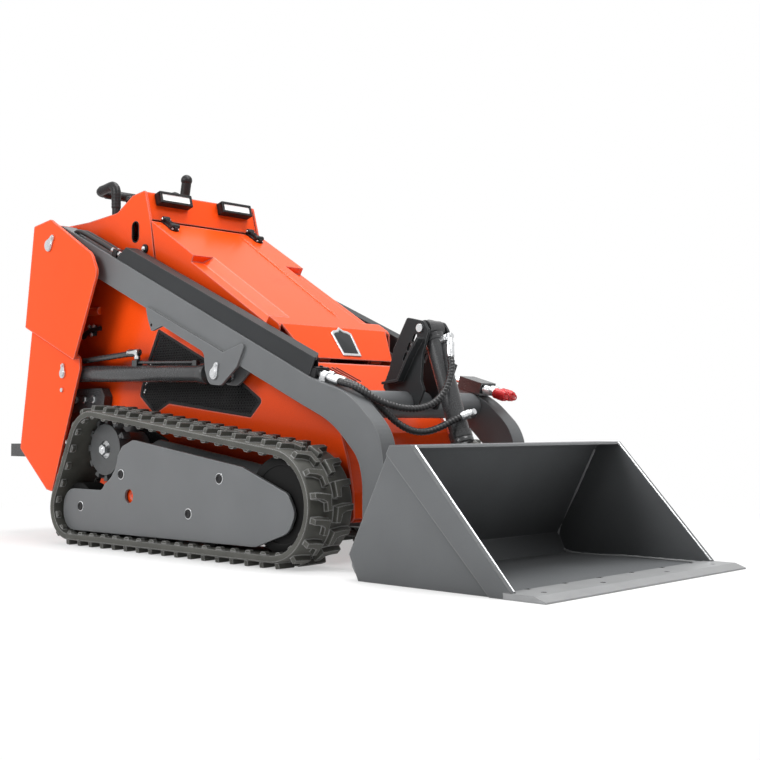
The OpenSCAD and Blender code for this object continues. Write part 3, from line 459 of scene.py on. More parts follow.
# Rubber tracks: belt, hooked lugs and inner guide teeth, along the same loop as the CAD belts
REAR_IDLER, REAR_R = Vector((-722, LUG_H + 112)), 112
FRONT_IDLER, FRONT_R = Vector((354, LUG_H + 170)), 170
SPROCKET, SPROCKET_R = Vector((-590, 338)), 137
WHEELS = [(REAR_IDLER, REAR_R), (FRONT_IDLER, FRONT_R), (SPROCKET, SPROCKET_R)]
BELT_RINGS = 260
BELT_SECTION = [(-90, -4), (-86, -1), (-82, 0), (82, 0), (86, -1), (90, -4),
                (90, -18), (87, -22), (-87, -22), (-90, -18)]
LUG_HOOK = [(2, 0), (18, 0), (17, 30), (12, 66), (-32, 66), (-32, 49), (-8, 46), (-1, 30)]
LUG_MID = Vector((-4, 38))
LUG_EDGE = 77
LUG_GROWTH = ((-3, 3.2), (LUG_H * 0.6, 1.2), (LUG_H - 2, 0.2), (LUG_H, -1.8))
GUIDE_Y, GUIDE_HALF = 70, 8
GUIDE_TAPER = ((-BELT_T + 2, 15), (-BELT_T - 6, 11), (-BELT_T - 9, 6))


class Loop:
    """Line around the three wheels, by its length."""

    def __init__(self):
        self.angles, self.arcs, self.runs = [], [], []
        for (a, ra), (b, rb) in zip(WHEELS, WHEELS[1:] + WHEELS[:1]):
            v = b - a
            k, d = (ra - rb) / v.length, v.normalized()
            n = d * k + Vector((d.y, -d.x)) * math.sqrt(1 - k * k)
            self.angles.append(math.atan2(n.y, n.x))
            self.runs.append(math.sqrt(v.length ** 2 - (ra - rb) ** 2))
        for i, (_, r) in enumerate(WHEELS):
            self.arcs.append(r * ((self.angles[i] - self.angles[i - 1]) % (2 * math.pi)))
        self.length = sum(self.arcs) + sum(self.runs)

    def at(self, s, y, h):
        """Point at length s, raised by h from the belt's outer face."""
        s %= self.length
        i = 0
        while s >= self.arcs[i] + self.runs[i]:
            s -= self.arcs[i] + self.runs[i]
            i = (i + 1) % len(WHEELS)
        c, r = WHEELS[i]
        a = self.angles[i - 1] + min(s, self.arcs[i]) / r
        out, along = Vector((math.cos(a), math.sin(a))), Vector((-math.sin(a), math.cos(a)))
        p = c + out * (r + h) + max(0.0, s - self.arcs[i]) * along
        return Vector((p.x, y, p.y))


def lug(b, loop, start, side):
    """Hooked lug whose outline grows towards the belt."""
    rings = []
    for h, grow in LUG_GROWTH:
        ring = []
        for s, y in LUG_HOOK:
            out = (Vector((s, y)) - LUG_MID).normalized() * grow
            ring.append(loop.at(start + s + out.x, -TRACK_YM + side * (LUG_EDGE - y - out.y), h))
        rings.append(ring)
    b.loft(rings)


def guide_tooth(b, loop, start, y):
    rings = []
    for h, half in GUIDE_TAPER:
        corners = ((-half, -GUIDE_HALF), (half, -GUIDE_HALF), (half, GUIDE_HALF), (-half, GUIDE_HALF))
        rings.append([loop.at(start + s, -TRACK_YM + y + w, h) for s, w in corners])
    b.loft(rings)


def track(name, node):
    loop = Loop()
    pitch = loop.length / LUGS
    b = Build()
    b.loft([[loop.at(loop.length * i / BELT_RINGS, -TRACK_YM + y, h) for y, h in BELT_SECTION]
            for i in range(BELT_RINGS)], closed=True)
    for i in range(LUGS):
        lug(b, loop, i * pitch, -1)
        lug(b, loop, (i + 0.5) * pitch, 1)
        for y in (-GUIDE_Y, GUIDE_Y):
            guide_tooth(b, loop, (i + 0.25) * pitch, y)
    if node == "track_left":
        b.other_side()
    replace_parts(b.piece(name, TRACK, "chassis", "track_rubber", bevel=0, smooth=38), node)


track("track_belt_right", "track_right")
track("track_belt_left", "track_left")

# Undercarriage trim: frame bolts, sprocket nut, wheel rims, nuts on the drive's ports
FRAME_BOLTS = ((-690, 137), (-446, 256), (-75, 140), (80, 257))
FRAME_HOLE = (-400, 184)
BOSS_DEPTH = 15
PORT_XS, PORT_Z = (-960, -900, -840), 520
HUB_OUT, WHEEL_OUT = 12, 38


def undercarriage():
    caps, rims = Build(), Build()
    for x, z in FRAME_BOLTS:
        at = Vector((x, -FRAME_Y1, z))
        rims.turned(at, RIGHT, [(-1, 18), (1.2, 18), (1.6, 17), (1.6, 15), (-1, 15)])
        caps.turned(at, RIGHT, [(-1, 14.6), (3.2, 14.6), (4.2, 13.4), (4.2, 8), (2.0, 7.2)])
    caps.mirrored().piece("frame_bolts", BLACK, "chassis", "black_plastic", bevel=0)

    hub = Vector((SPROCKET.x, -TRACK_YM - HUB_OUT, SPROCKET.y))
    rims.turned(hub, RIGHT, [(-1, 33), (3, 33), (4, 32), (4, 27), (1, 25), (1, 12.5), (-1, 12.5)])
    rear = Vector((REAR_IDLER.x, -TRACK_YM - WHEEL_OUT, REAR_IDLER.y))
    rims.turned(rear, RIGHT, [(-2, 66), (3.4, 66), (4.2, 65), (4.2, 60), (-2, 58)], n=48)
    for x in PORT_XS:
        rims.hexagon((x, -BODY_Y - 35, PORT_Z), RIGHT, 15, 8)
    rims.hexagon(hub + Vector((0, -12, 0)), RIGHT, 19, 13)
    rims.turned(hub + Vector((0, -24, 0)), RIGHT, [(-1, 9), (3, 9), (4, 8)])
    rims.mirrored().piece("frame_rims", STEEL, "chassis", "bright_steel", bevel=0.3)

    boss = Build()
    boss.turned((FRAME_HOLE[0], -FRAME_Y1 + BOSS_DEPTH, FRAME_HOLE[1]), RIGHT,
                [(-6, 32), (0, 32), (1.5, 30.5), (1.5, 12), (-2, 10)], n=40)
    boss.mirrored().piece("frame_bosses", ORANGE, "chassis", "orange_paint", bevel=0)

    idler = Build()
    for c, r, depth in ((FRONT_IDLER, FRONT_R, 26), (REAR_IDLER, REAR_R, 20)):
        rim = r - BELT_T - 4
        profile = [(-2, rim), (1, rim), (3, rim - 3), (3, rim - depth), (-1, rim - depth - 4)]
        idler.turned((c.x, -TRACK_YM - WHEEL_OUT, c.y), RIGHT, profile, n=56)
    idler.mirrored().piece("idler_rims", WHEEL, "chassis", "black_plastic", bevel=0)


undercarriage()

# Grilles: perforated sheet in a rim, in place of the slotted plates
GRILLE = [(-492, 766), (-550, 659), (-591, 561), (-600, 528), (-512, 462), (-427, 499), (12, 449),
          (72, 504), (-27, 564)]
CELL_ROWS, CELL_COLS = 36, 50
CELL_X0, CELL_Z0 = -606, 452
CELL_DX, CELL_DZ = 14.0, 9.0
CELL_HALF = (1.18 * 6.6, 1.18 * 4.2)
HOLE_HALF = (4.7, 2.6)
CELL_SHAPE = ((-1, 0), (-0.45, -1), (0.45, -1), (1, 0), (0.45, 1), (-0.45, 1))


def inside(x, z, line):
    hit = False
    for (x0, z0), (x1, z1) in zip(line, line[1:] + line[:1]):
        if (z0 > z) != (z1 > z) and x < x0 + (z - z0) * (x1 - x0) / (z1 - z0):
            hit = not hit
    return hit


def moved_in(line, d):
    """Outline moved inwards by d; it runs with its inside on the left."""
    out = []
    k = len(line)
    for i in range(k):
        a, b, c = Vector(line[i - 1]), Vector(line[i]), Vector(line[(i + 1) % k])
        u, v = (b - a).normalized(), (c - b).normalized()
        n = Vector((-u.y, u.x)) + Vector((-v.y, v.x))
        out.append(b + n * d / max(0.3, 1 + u.dot(v)))
    return [tuple(p) for p in out]


def cell(x, z, half):
    """Six-sided outline about a point of the side view."""
    return [(x + half[0] * sx, z + half[1] * sz) for sx, sz in CELL_SHAPE]


def grille(name, node):
    b = Build()
    y0, y1 = -BODY_Y + 1, -BODY_Y + 6
    outer, inner = moved_in(GRILLE, 0.5), moved_in(GRILLE, 10)
    b.rim(((outer, y1), (outer, y0), (inner, y0), (inner, y1)))
    reach = moved_in(GRILLE, 7)
    for row in range(CELL_ROWS):
        for col in range(CELL_COLS):
            x = CELL_X0 + CELL_DX * col + (CELL_DX / 2 if row % 2 else 0)
            z = CELL_Z0 + CELL_DZ * row
            if inside(x, z, reach):
                out, cut = cell(x, z, CELL_HALF), cell(x, z, HOLE_HALF)
                b.rim(((out, -BODY_Y + 4), (out, -BODY_Y + 2.6), (cut, -BODY_Y + 2), (cut, -BODY_Y + 4)))
    if node == "grille_left":
        b.other_side()
    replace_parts(b.piece(name, BLACK, "chassis", "black_plastic", bevel=0), node)


grille("grille_mesh_right", "grille_right")
grille("grille_mesh_left", "grille_left")

# Coolers: a dark finned core behind each grille
FINS, FIN_X0, FIN_PITCH, FIN_T = 40, -592, 16, 3
FIN_LEVELS = range(460, 770, 6)


def cooler():
    b = Build()
    b.plate(moved_in(GRILLE, -8), -BODY_Y + 26, -BODY_Y + 34)
    for i in range(FINS):
        x = FIN_X0 + FIN_PITCH * i
        zs = [z for z in FIN_LEVELS if inside(x, z, GRILLE)]
        if len(zs) > 2:
            b.box((x, -BODY_Y + 24, (zs[0] + zs[-1]) / 2), (FIN_T, 6, zs[-1] - zs[0]))
    b.mirrored().piece("cooler_cores", WHEEL, "chassis", "black_plastic", bevel=0)


cooler()

# Console trim: lamp frames and cells, side slots and bolts, grips, gauges, lever boots
LAMP_TURN = Matrix.Rotation(math.radians(-15.6), 3, "Y")
LAMP_AT = [Vector((-564, s * (BODY_Y - 114), 1246)) for s in (-1, 1)]
LAMP_CELLS, LAMP_PITCH = 12, 10
SIDE_BOLT = Vector((-573, -BODY_Y, 1060))
SLOT_X, SLOT_TOP, SLOT_LOW = -634, 1146, 1110
GRIP_Y, GRIP_R = 150, 18.5
GAUGE_X, GAUGE_Z, GAUGE_YS = -800, 1219, (-85, -15)
GAUGE_UP = Vector((0.075, 0, 1))
SWITCHES = 4
LEVERS = ((-784, 60, 1213), (-878, -111, 1207), (-878, 111, 1207))


def lamps():
    frames, cells = Build(), Build()
    for at in LAMP_AT:
        for y in (-67, 67):
            frames.box(at + LAMP_TURN @ Vector((19, y, 0)), (12, 10, 40), LAMP_TURN)
        for z in (-17.5, 17.5):
            frames.box(at + LAMP_TURN @ Vector((20, 0, z)), (13, 140, 9), LAMP_TURN)
        for i in range(LAMP_CELLS):
            cells.turned(at + LAMP_TURN @ Vector((21.5, -55 + LAMP_PITCH * i, 0)),
                         LAMP_TURN @ Vector((1, 0, 0)), [(0, 4.6), (1.4, 4.2), (2.0, 3.0), (1.0, 1.0)], n=12)
    frames.piece("lamp_frames", BLACK, "chassis", "black_plastic", bevel=1.2)
    cells.piece("lamp_cells", LENS, "chassis", "lamp_lens", bevel=0)


def slot_line(r):
    """Outline of the console's upright slot, with round ends."""
    return [(SLOT_X + r * math.cos(t), z + r * math.sin(t)) for z, a in ((SLOT_TOP, 0), (SLOT_LOW, math.pi))
            for t in (a + math.pi * i / 10 for i in range(11))]


def console_sides():
    dark, steel = Build(), Build()
    dark.turned(SIDE_BOLT, RIGHT, [(-1, 17), (5, 17), (7, 15), (7, 9), (-1, 9)])
    steel.bolt(SIDE_BOLT + Vector((0, -2, 0)), RIGHT, 10, 8)
    steel.turned(SIDE_BOLT + Vector((0, -8, 0)), RIGHT, [(0, 6), (4, 6), (6, 4)])
    outer, inner = slot_line(22), slot_line(18.5)
    dark.rim(((outer, -BODY_Y + 0.5), (outer, -BODY_Y - 1.6), (inner, -BODY_Y - 1.6), (inner, -BODY_Y + 9)))
    dark.mirrored().piece("console_rubber", BLACK, "chassis", "black_plastic", bevel=0.4)
    steel.mirrored().piece("console_bolts", STEEL, "chassis", "bright_steel", bevel=0.4)


def grip_radius(run, turn):
    return GRIP_R - 0.8 * (0.5 + 0.5 * math.cos(2 * math.pi * run / 12))


def grips():
    b = Build()
    for y in (-GRIP_Y, GRIP_Y):
        path = spline([(-915, y, 1262), (-915, y, 1300), (-915, y, 1322), (-919, y, 1337), (-930, y, 1348),
                       (-945, y, 1352), (-985, y, 1347), (-1012, y, 1344)], 4)
        b.tube(path, grip_radius, n=20)
    b.turned((-1045, -112, 1340), LEFT, [(0, 15.5), (3, GRIP_R), (221, GRIP_R), (224, 15.5)])
    b.piece("grab_grips", BLACK, "chassis", "black_plastic", bevel=0, smooth=50)


def gauges():
    rims, faces = Build(), Build()
    for y in GAUGE_YS:
        rims.turned((GAUGE_X, y, GAUGE_Z), GAUGE_UP, [(0, 27), (4, 27), (5, 26), (5, 22), (1, 21.5)])
        faces.turned((GAUGE_X, y, GAUGE_Z + 0.5), GAUGE_UP, [(0, 21), (2.5, 21), (3, 20)])
    for i in range(SWITCHES):
        rims.box((-880 + 2 * i, -40 + 34 * i, 1207.5), (26, 20, 9))
    rims.piece("gauge_rims", BLACK, "chassis", "black_plastic", bevel=0.6)
    faces.piece("gauge_faces", LENS, "chassis", "lamp_lens", bevel=0.3)


def lever_boots():
    b = Build()
    for x, y, z in LEVERS:
        b.turned((x, y, z - 2), (0.2, 0, 1),
                 [(0, 30), (4, 30), (8, 24), (12, 26), (18, 18), (22, 20), (30, 12)])
    b.piece("lever_boots", HOSE, "chassis", "hose_rubber", bevel=0)


lamps()
console_sides()
grips()
gauges()
lever_boots()

# Hood trim: latches, a bead along the far crease and a blank badge plate
HOOD_TOP = Vector((-538, 0, 1158))
HOOD_LOW = Vector((144, 0, 752))
APRON_FOOT = Vector((222, 0, 640))
HOOD_X = (HOOD_LOW - HOOD_TOP).normalized()
HOOD_Z = square_to(HOOD_X)
HOOD_TURN = axes(HOOD_X, HOOD_Z)
LATCH_AT = [Vector((-510, s * (BODY_Y - 58), 1141.5)) for s in (-1, 1)]
BEAD_STEPS, BEAD_R, BEAD_SUNK = 40, 9.0, 4.0
BADGE_LINE = [(-34, 46), (-38, -30), (-26, -38), (-12, -40), (0, -50), (12, -40), (26, -38), (38, -30),
              (34, 46)]
BADGE_Y, BADGE_DOWN = 10, 64


def latches():
    latch = Build()
    for at in LATCH_AT:
        def place(x, y, z):
            return at + HOOD_TURN @ Vector((x, y, z))

        latch.box(place(4, 0, 3), (78, 30, 6), HOOD_TURN)
        latch.box(place(-2, 0, 11), (52, 17, 12), HOOD_TURN)
        for k in range(4):
            latch.box(place(-20 + 12 * k, 0, 18), (5, 19, 4), HOOD_TURN)
        latch.turned(place(30, -19, 14), LEFT, [(0, 7), (2, 9), (36, 9), (38, 7)], n=20)
        latch.turned(place(-31, -15, 14), LEFT, [(0, 8), (2, 10), (28, 10), (30, 8)], n=20)
        latch.box(place(37, 0, 10), (20, 12, 10), HOOD_TURN)
    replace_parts(latch.piece("latch_straps", BLACK, "hood", "black_plastic", bevel=1.2), "hood_latches")


def latch_pins():
    pins = Build()
    for at in LATCH_AT:
        for y in (-12, 12):
            pins.bolt(at + HOOD_TURN @ Vector((38, y, 6)), HOOD_Z, 3.4)
        pins.turned(at + HOOD_TURN @ Vector((-31, -19, 14)), LEFT,
                    [(0, 3), (1, 4.5), (3, 4.5), (3.5, 4), (38, 4), (39, 3)])
    pins.piece("latch_pins", STEEL, "hood", "bright_steel", bevel=0.2)


def hood_bead():
    """Half-sunk bead that thins out at both ends."""
    rings = []
    for k in range(BEAD_STEPS + 1):
        p = Vector((-512 + 592 * k / BEAD_STEPS, 132 - 51 * k / BEAD_STEPS, 1142.5 - 352.4 * k / BEAD_STEPS))
        r = BEAD_R * min(1.0, 0.45 + 0.28 * min(k, BEAD_STEPS - k))
        rings.append([p - HOOD_Z * BEAD_SUNK + Vector(LEFT) * r * math.cos(t) + HOOD_Z * r * math.sin(t)
                      for t in circle(16)])
    bead = Build()
    bead.loft(rings)
    bead.piece("hood_bead", ORANGE, "hood", "orange_paint", bevel=0, smooth=60)


def badge():
    down = (APRON_FOOT - HOOD_LOW).normalized()
    out = square_to(down)
    mid = HOOD_LOW + down * BADGE_DOWN

    def ring(scale, h):
        return [mid + Vector((0, BADGE_Y + y * scale, 0)) + down * (z * scale) + out * h
                for y, z in BADGE_LINE]

    rim, face = Build(), Build()
    rim.loft([ring(1.25, -1), ring(1.25, 3.0), ring(1.22, 4.2), ring(1.06, 4.2), ring(1.02, 2.2)])
    face.loft([ring(1.02, 1.0), ring(1.02, 2.6), ring(0.98, 3.0)])
    rim.piece("badge_rim", STEEL, "hood", "bright_steel", bevel=0.4)
    face.piece("badge_face", GUARD, "hood", "grey_paint", bevel=0.2)


latches()
latch_pins()
hood_bead()
badge()

# Arm trim: hose ends and clamps at the elbow, pipes along the arms' upper edges
ARM_BACK = Vector((-1006, 0, 1186))
ARM_SLOPE = (ELBOW_BACK - ARM_BACK).normalized()
ARM_UP = square_to(ARM_SLOPE)
ARM_TURN = axes(ARM_SLOPE, ARM_UP)
PIPE_YS, PIPE_R = (-ARM_YM - 12, -ARM_YM + 12), 8.5
PIPE_RUN = ((-688, 16), (-740, 17), (-800, 16), (-870, 15), (-900, 12), (-920, 4), (-930, -8))
CLAMP_X, CLAMP_Y = -50, -303


def on_arm(x, y, h):
    """Point over the arm's straight upper edge."""
    return Vector((x, y, ARM_BACK.z + (x - ARM_BACK.x) * ARM_SLOPE.z / ARM_SLOPE.x)) + ARM_UP * h


def elbow_trim():
    ends = Build()
    for y in (HOSE_UP_Y, HOSE_LOW_Y):
        ends.hexagon(on_elbow(-22, y, HOSE_H), ELBOW_X, 15.4, 22)
        ends.turned(on_elbow(4, y, HOSE_H), ELBOW_X, [(0, 9), (1, 11), (8, 11), (9, 9)], n=24)
        ends.turned(on_elbow(14, y, HOSE_H), ELBOW_X,
                    [(0, 11), (1, 12.8), (30, 12.8), (32, 11.8), (35, 11.8), (36, 10.4)], n=24)
    ends.piece("hose_ends", STEEL, "lift_arm", "bright_steel", bevel=0.3)
    clamp = Build()
    clamp.box(on_elbow(CLAMP_X, CLAMP_Y, 15), (26, 60, 30), ELBOW_TURN)
    clamp.box(on_elbow(CLAMP_X, CLAMP_Y, 32), (18, 52, 5), ELBOW_TURN)
    clamp.bolt(on_elbow(CLAMP_X, CLAMP_Y, 34), ELBOW_Z, 6)
    clamp.piece("hose_clamp", BLACK, "lift_arm", "black_plastic", bevel=1.5)


def arm_pipes():
    steel, clamp, lines = Build(), Build(), Build()
    for y in PIPE_YS:
        steel.turned(on_arm(-690, y, 16), ARM_SLOPE,
                     [(0, 9), (1, 10), (20, 10), (21, 8), (44, 8), (45, 11), (58, 11), (59, 9)], n=20)
        lines.tube(spline([on_arm(x, y, h) for x, h in PIPE_RUN], 5), PIPE_R, n=16)
    clamp.box(on_arm(-660, -ARM_YM, 14), (26, 52, 27), ARM_TURN)
    steel.mirrored().piece("arm_hose_ends", STEEL, "lift_arm", "bright_steel", bevel=0.3)
    clamp.mirrored().piece("arm_hose_clamps", BLACK, "lift_arm", "black_plastic", bevel=1.5)
    lines.mirrored().piece("arm_lines", HOSE, "lift_arm", "hose_rubber", bevel=0, smooth=50)


elbow_trim()
arm_pipes()

# Couplers on the left arm: knurled sleeves, red dust caps and their rings
COUPLER_YS = (ARM_YM - 18, ARM_YM + 18)
COUPLER_H = 22
KNURLS, KNURL_PITCH = 7, 3.4
CAP_PROFILE = [(164, 15), (166, 17.4), (172, 17.4), (173, 16.4), (180, 16.4), (181, 18.2), (200, 18.2),
               (202, 17), (210, 15.5), (211, 13)]
CAP_RING_X, CAP_RING_R = 216, 9


def couplers():
    steel, red = Build(), Build()
    sleeve = [(100, 11)]
    for k in range(KNURLS):
        start = KNURL_PITCH * k
        sleeve += [(122 + start, 15.4), (123.6 + start, 15.4), (124.6 + start, 14.4)]
    sleeve += [(148, 13), (165, 13), (166, 12)]
    for y in COUPLER_YS:
        steel.turned(on_elbow(0, y, COUPLER_H), ELBOW_X, sleeve, n=28)
        steel.hexagon(on_elbow(100, y, COUPLER_H), ELBOW_X, 15, 14)
        red.turned(on_elbow(0, y, COUPLER_H), ELBOW_X, CAP_PROFILE, n=28)
        ring = [on_elbow(CAP_RING_X + CAP_RING_R * math.cos(t), y, COUPLER_H + CAP_RING_R * math.sin(t))
                for t in circle(20)]
        red.tube(ring + ring[:1], 2.2, n=10)
    steel.piece("coupler_sleeves", STEEL, "lift_arm", "bright_steel", bevel=0)
    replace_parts(red.piece("coupler_dust_caps", RED, "lift_arm", "red_rubber", bevel=0), "coupler_caps")


couplers()

# Side plate trim: a stub of tube and a hose fitting in front of the tower
SIDE_HOSE = ((-962, 4, 756), (-940, 7, 770), (-912, 8, 780), (-880, 8, 784), (-843, 6, 786))
SIDE_NUTS = ((-914, 796), (-884, 796), (-898, 765))


def side_trim():
    paint, dark, steel = Build(), Build(), Build()
    paint.turned((-934, -BODY_Y - 2, 853), (1, 0, 0), [(0, 11), (2, 15), (82, 15), (84, 11)], n=28)
    paint.mirrored().piece("side_tubes", ORANGE, "chassis", "orange_paint", bevel=0)
    dark.tube(spline([(x, -BODY_Y - out, z) for x, out, z in SIDE_HOSE], 5), 9, n=18)
    dark.box((-898, -BODY_Y - 3, 780), (44, 10, 40))
    dark.mirrored().piece("side_hoses", BLACK, "chassis", "black_plastic", bevel=0.8, smooth=50)
    for x, z in SIDE_NUTS:
        steel.hexagon((x, -BODY_Y - 7, z), RIGHT, 9, 7)
    steel.mirrored().piece("side_nuts", STEEL, "chassis", "bright_steel", bevel=0.3)


side_trim()

# Louvre backing: a dark tray with slats behind the front cover's slots
COVER_AT = Vector((230, 0, 626))
COVER_TURN = Matrix.Rotation(math.radians(48), 3, "Y")
TRAY_X, TRAY_Y, TRAY_W = 52, -88, 176
SLATS, SLAT_PITCH = 9, 20


def on_cover(x, y, z):
    return COVER_AT + COVER_TURN @ Vector((x, y, z))


def louvres():
    tray = Build()
    tray.box(on_cover(TRAY_X, TRAY_Y, -12), (92, TRAY_W, 2), COVER_TURN)
    for x in (TRAY_X - 45, TRAY_X + 45):
        tray.box(on_cover(x, TRAY_Y, -10), (2, TRAY_W, 5), COVER_TURN)
    for i in range(SLATS):
        tray.box(on_cover(TRAY_X, -168 + SLAT_PITCH * i, -10), (88, 2, 4), COVER_TURN)
    tray.piece("louvre_tray", BLACK, "chassis", "black_plastic", bevel=0)


louvres()

# Cylinders: gland rings, silver elbows on the lift cylinders, hose ends on the tilt cylinder
LIFT_BACK = Vector((-944, 0, 617))
LIFT_FRONT = Vector((-62, 0, 592))
LIFT_U = (LIFT_FRONT - LIFT_BACK).normalized()
LIFT_N = square_to(LIFT_U)
LIFT_BARREL = 804
TILT_BARREL = (TILT_FOOT - TILT_TOP).length - 114


def lift_trim(side, hand):
    body = "lift_barrel_" + hand

    def at(x, h):
        return LIFT_BACK + x * LIFT_U + h * LIFT_N + Vector((0, side * ARM_YM, 0))

    steel, gland = Build(), Build()
    steel.turned(at(398, 52), LIFT_N,
                 [(0, 9.6), (1, 11.5), (10, 11.5), (11, 10), (24, 10), (25, 11), (33, 11), (34, 9)], n=20)
    steel.turned(at(410, 76), -LIFT_U,
                 [(0, 8), (2, 12.6), (8, 13.6), (18, 13.6), (19, 12.8), (50, 12.8), (52, 12.2), (62, 12.2),
                  (64, 10)], n=24)
    steel.piece("lift_elbow_" + hand, STEEL, body, "bright_steel", bevel=0.3)
    gland.turned(at(LIFT_BARREL - 34, 0), LIFT_U,
                 [(0, 30), (0, 34.5), (4, 35), (24, 35), (26, 33.4), (28, 35), (33, 34), (36, 28), (36, 17)],
                 n=40)
    gland.turned(at(34, 0), LIFT_U, [(0, 30), (1, 32.4), (7, 32.4), (9, 30)], n=40)
    gland.piece("lift_gland_" + hand, DARK, body, "dark_paint", bevel=0)


def tilt_trim():
    gland, steel = Build(), Build()
    gland.turned(TILT_TOP + TILT_U * (TILT_BARREL - 36), TILT_U,
                 [(0, 31), (0, 35.6), (4, 36), (20, 36), (22, 34), (25, 36), (36, 36), (38, 33), (38, 15)],
                 n=44)
    gland.turned(TILT_TOP + TILT_U * 30, TILT_U, [(0, 31), (1, 33.6), (10, 33.6), (12, 31)], n=44)
    gland.piece("tilt_gland", DARK, "tilt_barrel", "dark_paint", bevel=0)
    steel.hexagon(PORT_UP - 22 * TILT_N, TILT_N, 14, 12)
    steel.hexagon(PORT_LOW - 26 * TILT_N, TILT_N, 14, 12)
    steel.turned(PORT_UP + 22 * OUT_UP, OUT_UP,
                 [(0, 10), (1, 13.4), (10, 13.4), (11, 12.2), (44, 12.6), (47, 11)], n=24)
    steel.turned(PORT_LOW + 9 * OUT_LOW, OUT_LOW,
                 [(0, 9), (1, 13), (7, 13), (8, 12.2), (25, 12.6), (27, 11)], n=24)
    steel.piece("tilt_hose_ends", STEEL, "tilt_barrel", "bright_steel", bevel=0.3)


lift_trim(-1, "right")
lift_trim(1, "left")
tilt_trim()

# Bucket trim: edge bolts, weld beads, bare edges and scuffs on the cutting edge
EDGE_BOLT_X, EDGE_BOLT_YS, EDGE_BOLT_Z = 1300, (-420, -160, 160, 420), 12.4
WELD_RUN = ((1225, 10), (1000, 10), (748, 10), (708, 74), (780, 212), (850, 346))
WELD_Y, WELD_R, WELD_LUMP, WELD_PITCH = 481, 4.4, 0.5, 7
SIDE_EDGE = ((937, 370), (1100, 191), (1258, 18))
SIDE_EDGE_Y, SIDE_EDGE_R = 485, 3.2
SCUFFS = 6
EDGE_TURN = Matrix.Rotation(math.radians(13), 3, "Y")


def weld_radius(run, turn):
    return WELD_R + WELD_LUMP * math.sin(2 * math.pi * run / WELD_PITCH)


def bucket_trim():
    bolts, welds, bare, marks = Build(), Build(), Build(), Build()
    for y in EDGE_BOLT_YS:
        bolts.turned((EDGE_BOLT_X, y, EDGE_BOLT_Z), (0, 0, 1),
                     [(-2, 7.9), (3.2, 7.9), (3.6, 7.2), (3.6, 4), (2.2, 3.4)])
    bolts.piece("edge_bolts", DARK, "bucket", "dark_paint", bevel=0)
    for y in (-WELD_Y, WELD_Y):
        welds.tube(spline([(x, y, z) for x, z in WELD_RUN], 6), weld_radius, n=8)
    welds.piece("bucket_welds", WEAR, "bucket", "wear_steel", bevel=0, smooth=60)
    bare.tube(spline([(1237, y, 10) for y in (-478, 0, 478)], 6), weld_radius, n=8)
    for y in (-SIDE_EDGE_Y, SIDE_EDGE_Y):
        bare.tube(spline([(x, y, z) for x, z in SIDE_EDGE], 12), SIDE_EDGE_R, n=10)
    bare.piece("bucket_bare_edges", STEEL, "bucket", "bright_steel", bevel=0, smooth=60)
    for i in range(SCUFFS):
        marks.box((1238, -400 + 160 * i, 14), (12, 16, 4))
        marks.box((1342, -440 + 176 * i, 9.6), (8, 14, 2.4), EDGE_TURN)
    marks.piece("edge_marks", DARK, "bucket", "dark_paint", bevel=0.4)


bucket_trim()

# Floor and light, in metres and watts
WHITE = (1, 1, 1, 1)
WALL_WAY = (-0.69, 0.72, 0.0)
WALL_FADE = {"From Min": -0.3, "From Max": 0.6, "To Min": 0.14, "To Max": 1.0}
FLOOR_HALF, FLOOR_DROP = 14, 0.0005
FLOOR_FADE = {"From Min": 0.9, "From Max": 2.8, "To Min": 0.45, "To Max": 1.0}


def seen_rays(tree):
    """1 for rays that show the background: from the camera, in a reflection or through glass."""
    ray = add_node(tree, "ShaderNodeLightPath")
    out = ray.outputs["Is Camera Ray"]
    for kind in ("Is Glossy Ray", "Is Transmission Ray"):
        most = add_node(tree, "ShaderNodeMath", operation="MAXIMUM")
        tree.links.new(out, most.inputs[0])
        tree.links.new(ray.outputs[kind], most.inputs[1])
        out = most.outputs["Value"]
    return out


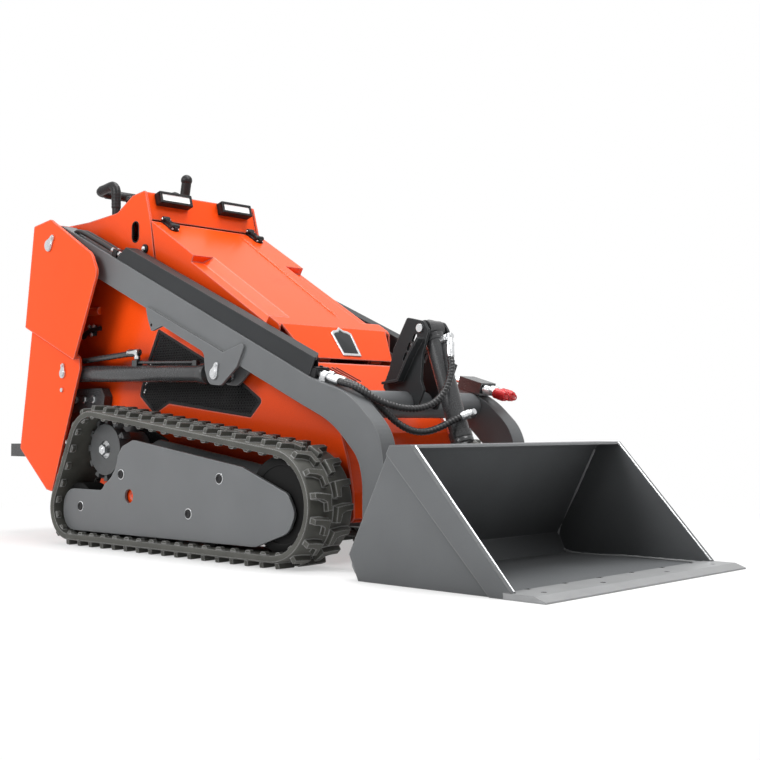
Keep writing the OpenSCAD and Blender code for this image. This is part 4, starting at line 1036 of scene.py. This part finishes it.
def world():
    """White where it is seen; its light comes mostly from the wall behind the machine."""
    w = bpy.data.worlds.new("studio")
    scene.world = w
    w.use_nodes = True
    t = w.node_tree
    link = t.links.new
    background = t.nodes["Background"]
    background.inputs["Color"].default_value = WHITE
    co = add_node(t, "ShaderNodeTexCoord")
    wall = add_node(t, "ShaderNodeVectorMath", {1: WALL_WAY}, operation="DOT_PRODUCT")
    fade = add_node(t, "ShaderNodeMapRange", WALL_FADE)
    seen = add_node(t, "ShaderNodeMath", operation="MAXIMUM")
    link(co.outputs["Generated"], wall.inputs[0])
    link(wall.outputs["Value"], fade.inputs["Value"])
    link(fade.outputs["Result"], seen.inputs[0])
    link(seen_rays(t), seen.inputs[1])
    link(seen.outputs["Value"], background.inputs["Strength"])


def floor_paper():
    """Pale paper that turns white away from the machine, where it is seen."""
    m = surface("floor_paper", (0.92, 0.92, 0.92), 0.9, vary=0.01, scale=2.0, bump=0.0, edge=0.0, spec=0.1)
    t = m.node_tree
    link = t.links.new
    place = add_node(t, "ShaderNodeNewGeometry")
    far = add_node(t, "ShaderNodeVectorMath", operation="LENGTH")
    fade = add_node(t, "ShaderNodeMapRange", FLOOR_FADE)
    both = add_node(t, "ShaderNodeMath", operation="MULTIPLY")
    white = add_node(t, "ShaderNodeEmission", {"Strength": 1.0, "Color": WHITE})
    mix = add_node(t, "ShaderNodeMixShader")
    link(place.outputs["Position"], far.inputs[0])
    link(far.outputs["Value"], fade.inputs["Value"])
    link(fade.outputs["Result"], both.inputs[0])
    link(seen_rays(t), both.inputs[1])
    link(both.outputs["Value"], mix.inputs["Fac"])
    link(t.nodes["Principled BSDF"].outputs["BSDF"], mix.inputs[1])
    link(white.outputs["Emission"], mix.inputs[2])
    link(mix.outputs["Shader"], t.nodes["Material Output"].inputs["Surface"])
    return m


def floor():
    bm = bmesh.new()
    bmesh.ops.create_grid(bm, x_segments=2, y_segments=2, size=FLOOR_HALF)
    me = bpy.data.meshes.new("floor")
    bm.to_mesh(me)
    bm.free()
    obj = bpy.data.objects.new("floor", me)
    scene.collection.objects.link(obj)
    obj.location = (0, 0, -FLOOR_DROP)
    me.materials.append(floor_paper())


def lamp(name, place, target, size, power):
    d = bpy.data.lights.new(name, "AREA")
    d.shape = "RECTANGLE"
    d.size, d.size_y = size
    d.energy = power
    o = bpy.data.objects.new(name, d)
    scene.collection.objects.link(o)
    look_at(o, place, target)


world()
floor()
lamp("key", (-0.8, -4.2, 3.0), (-0.2, 0, 0.5), (2.6, 1.8), 140)
lamp("top", (0.0, 0.6, 4.4), (0.1, 0, 0.4), (3.2, 2.2), 140)
lamp("front_top", (2.8, 0.0, 4.0), (-0.1, 0, 0.8), (2.0, 1.4), 80)
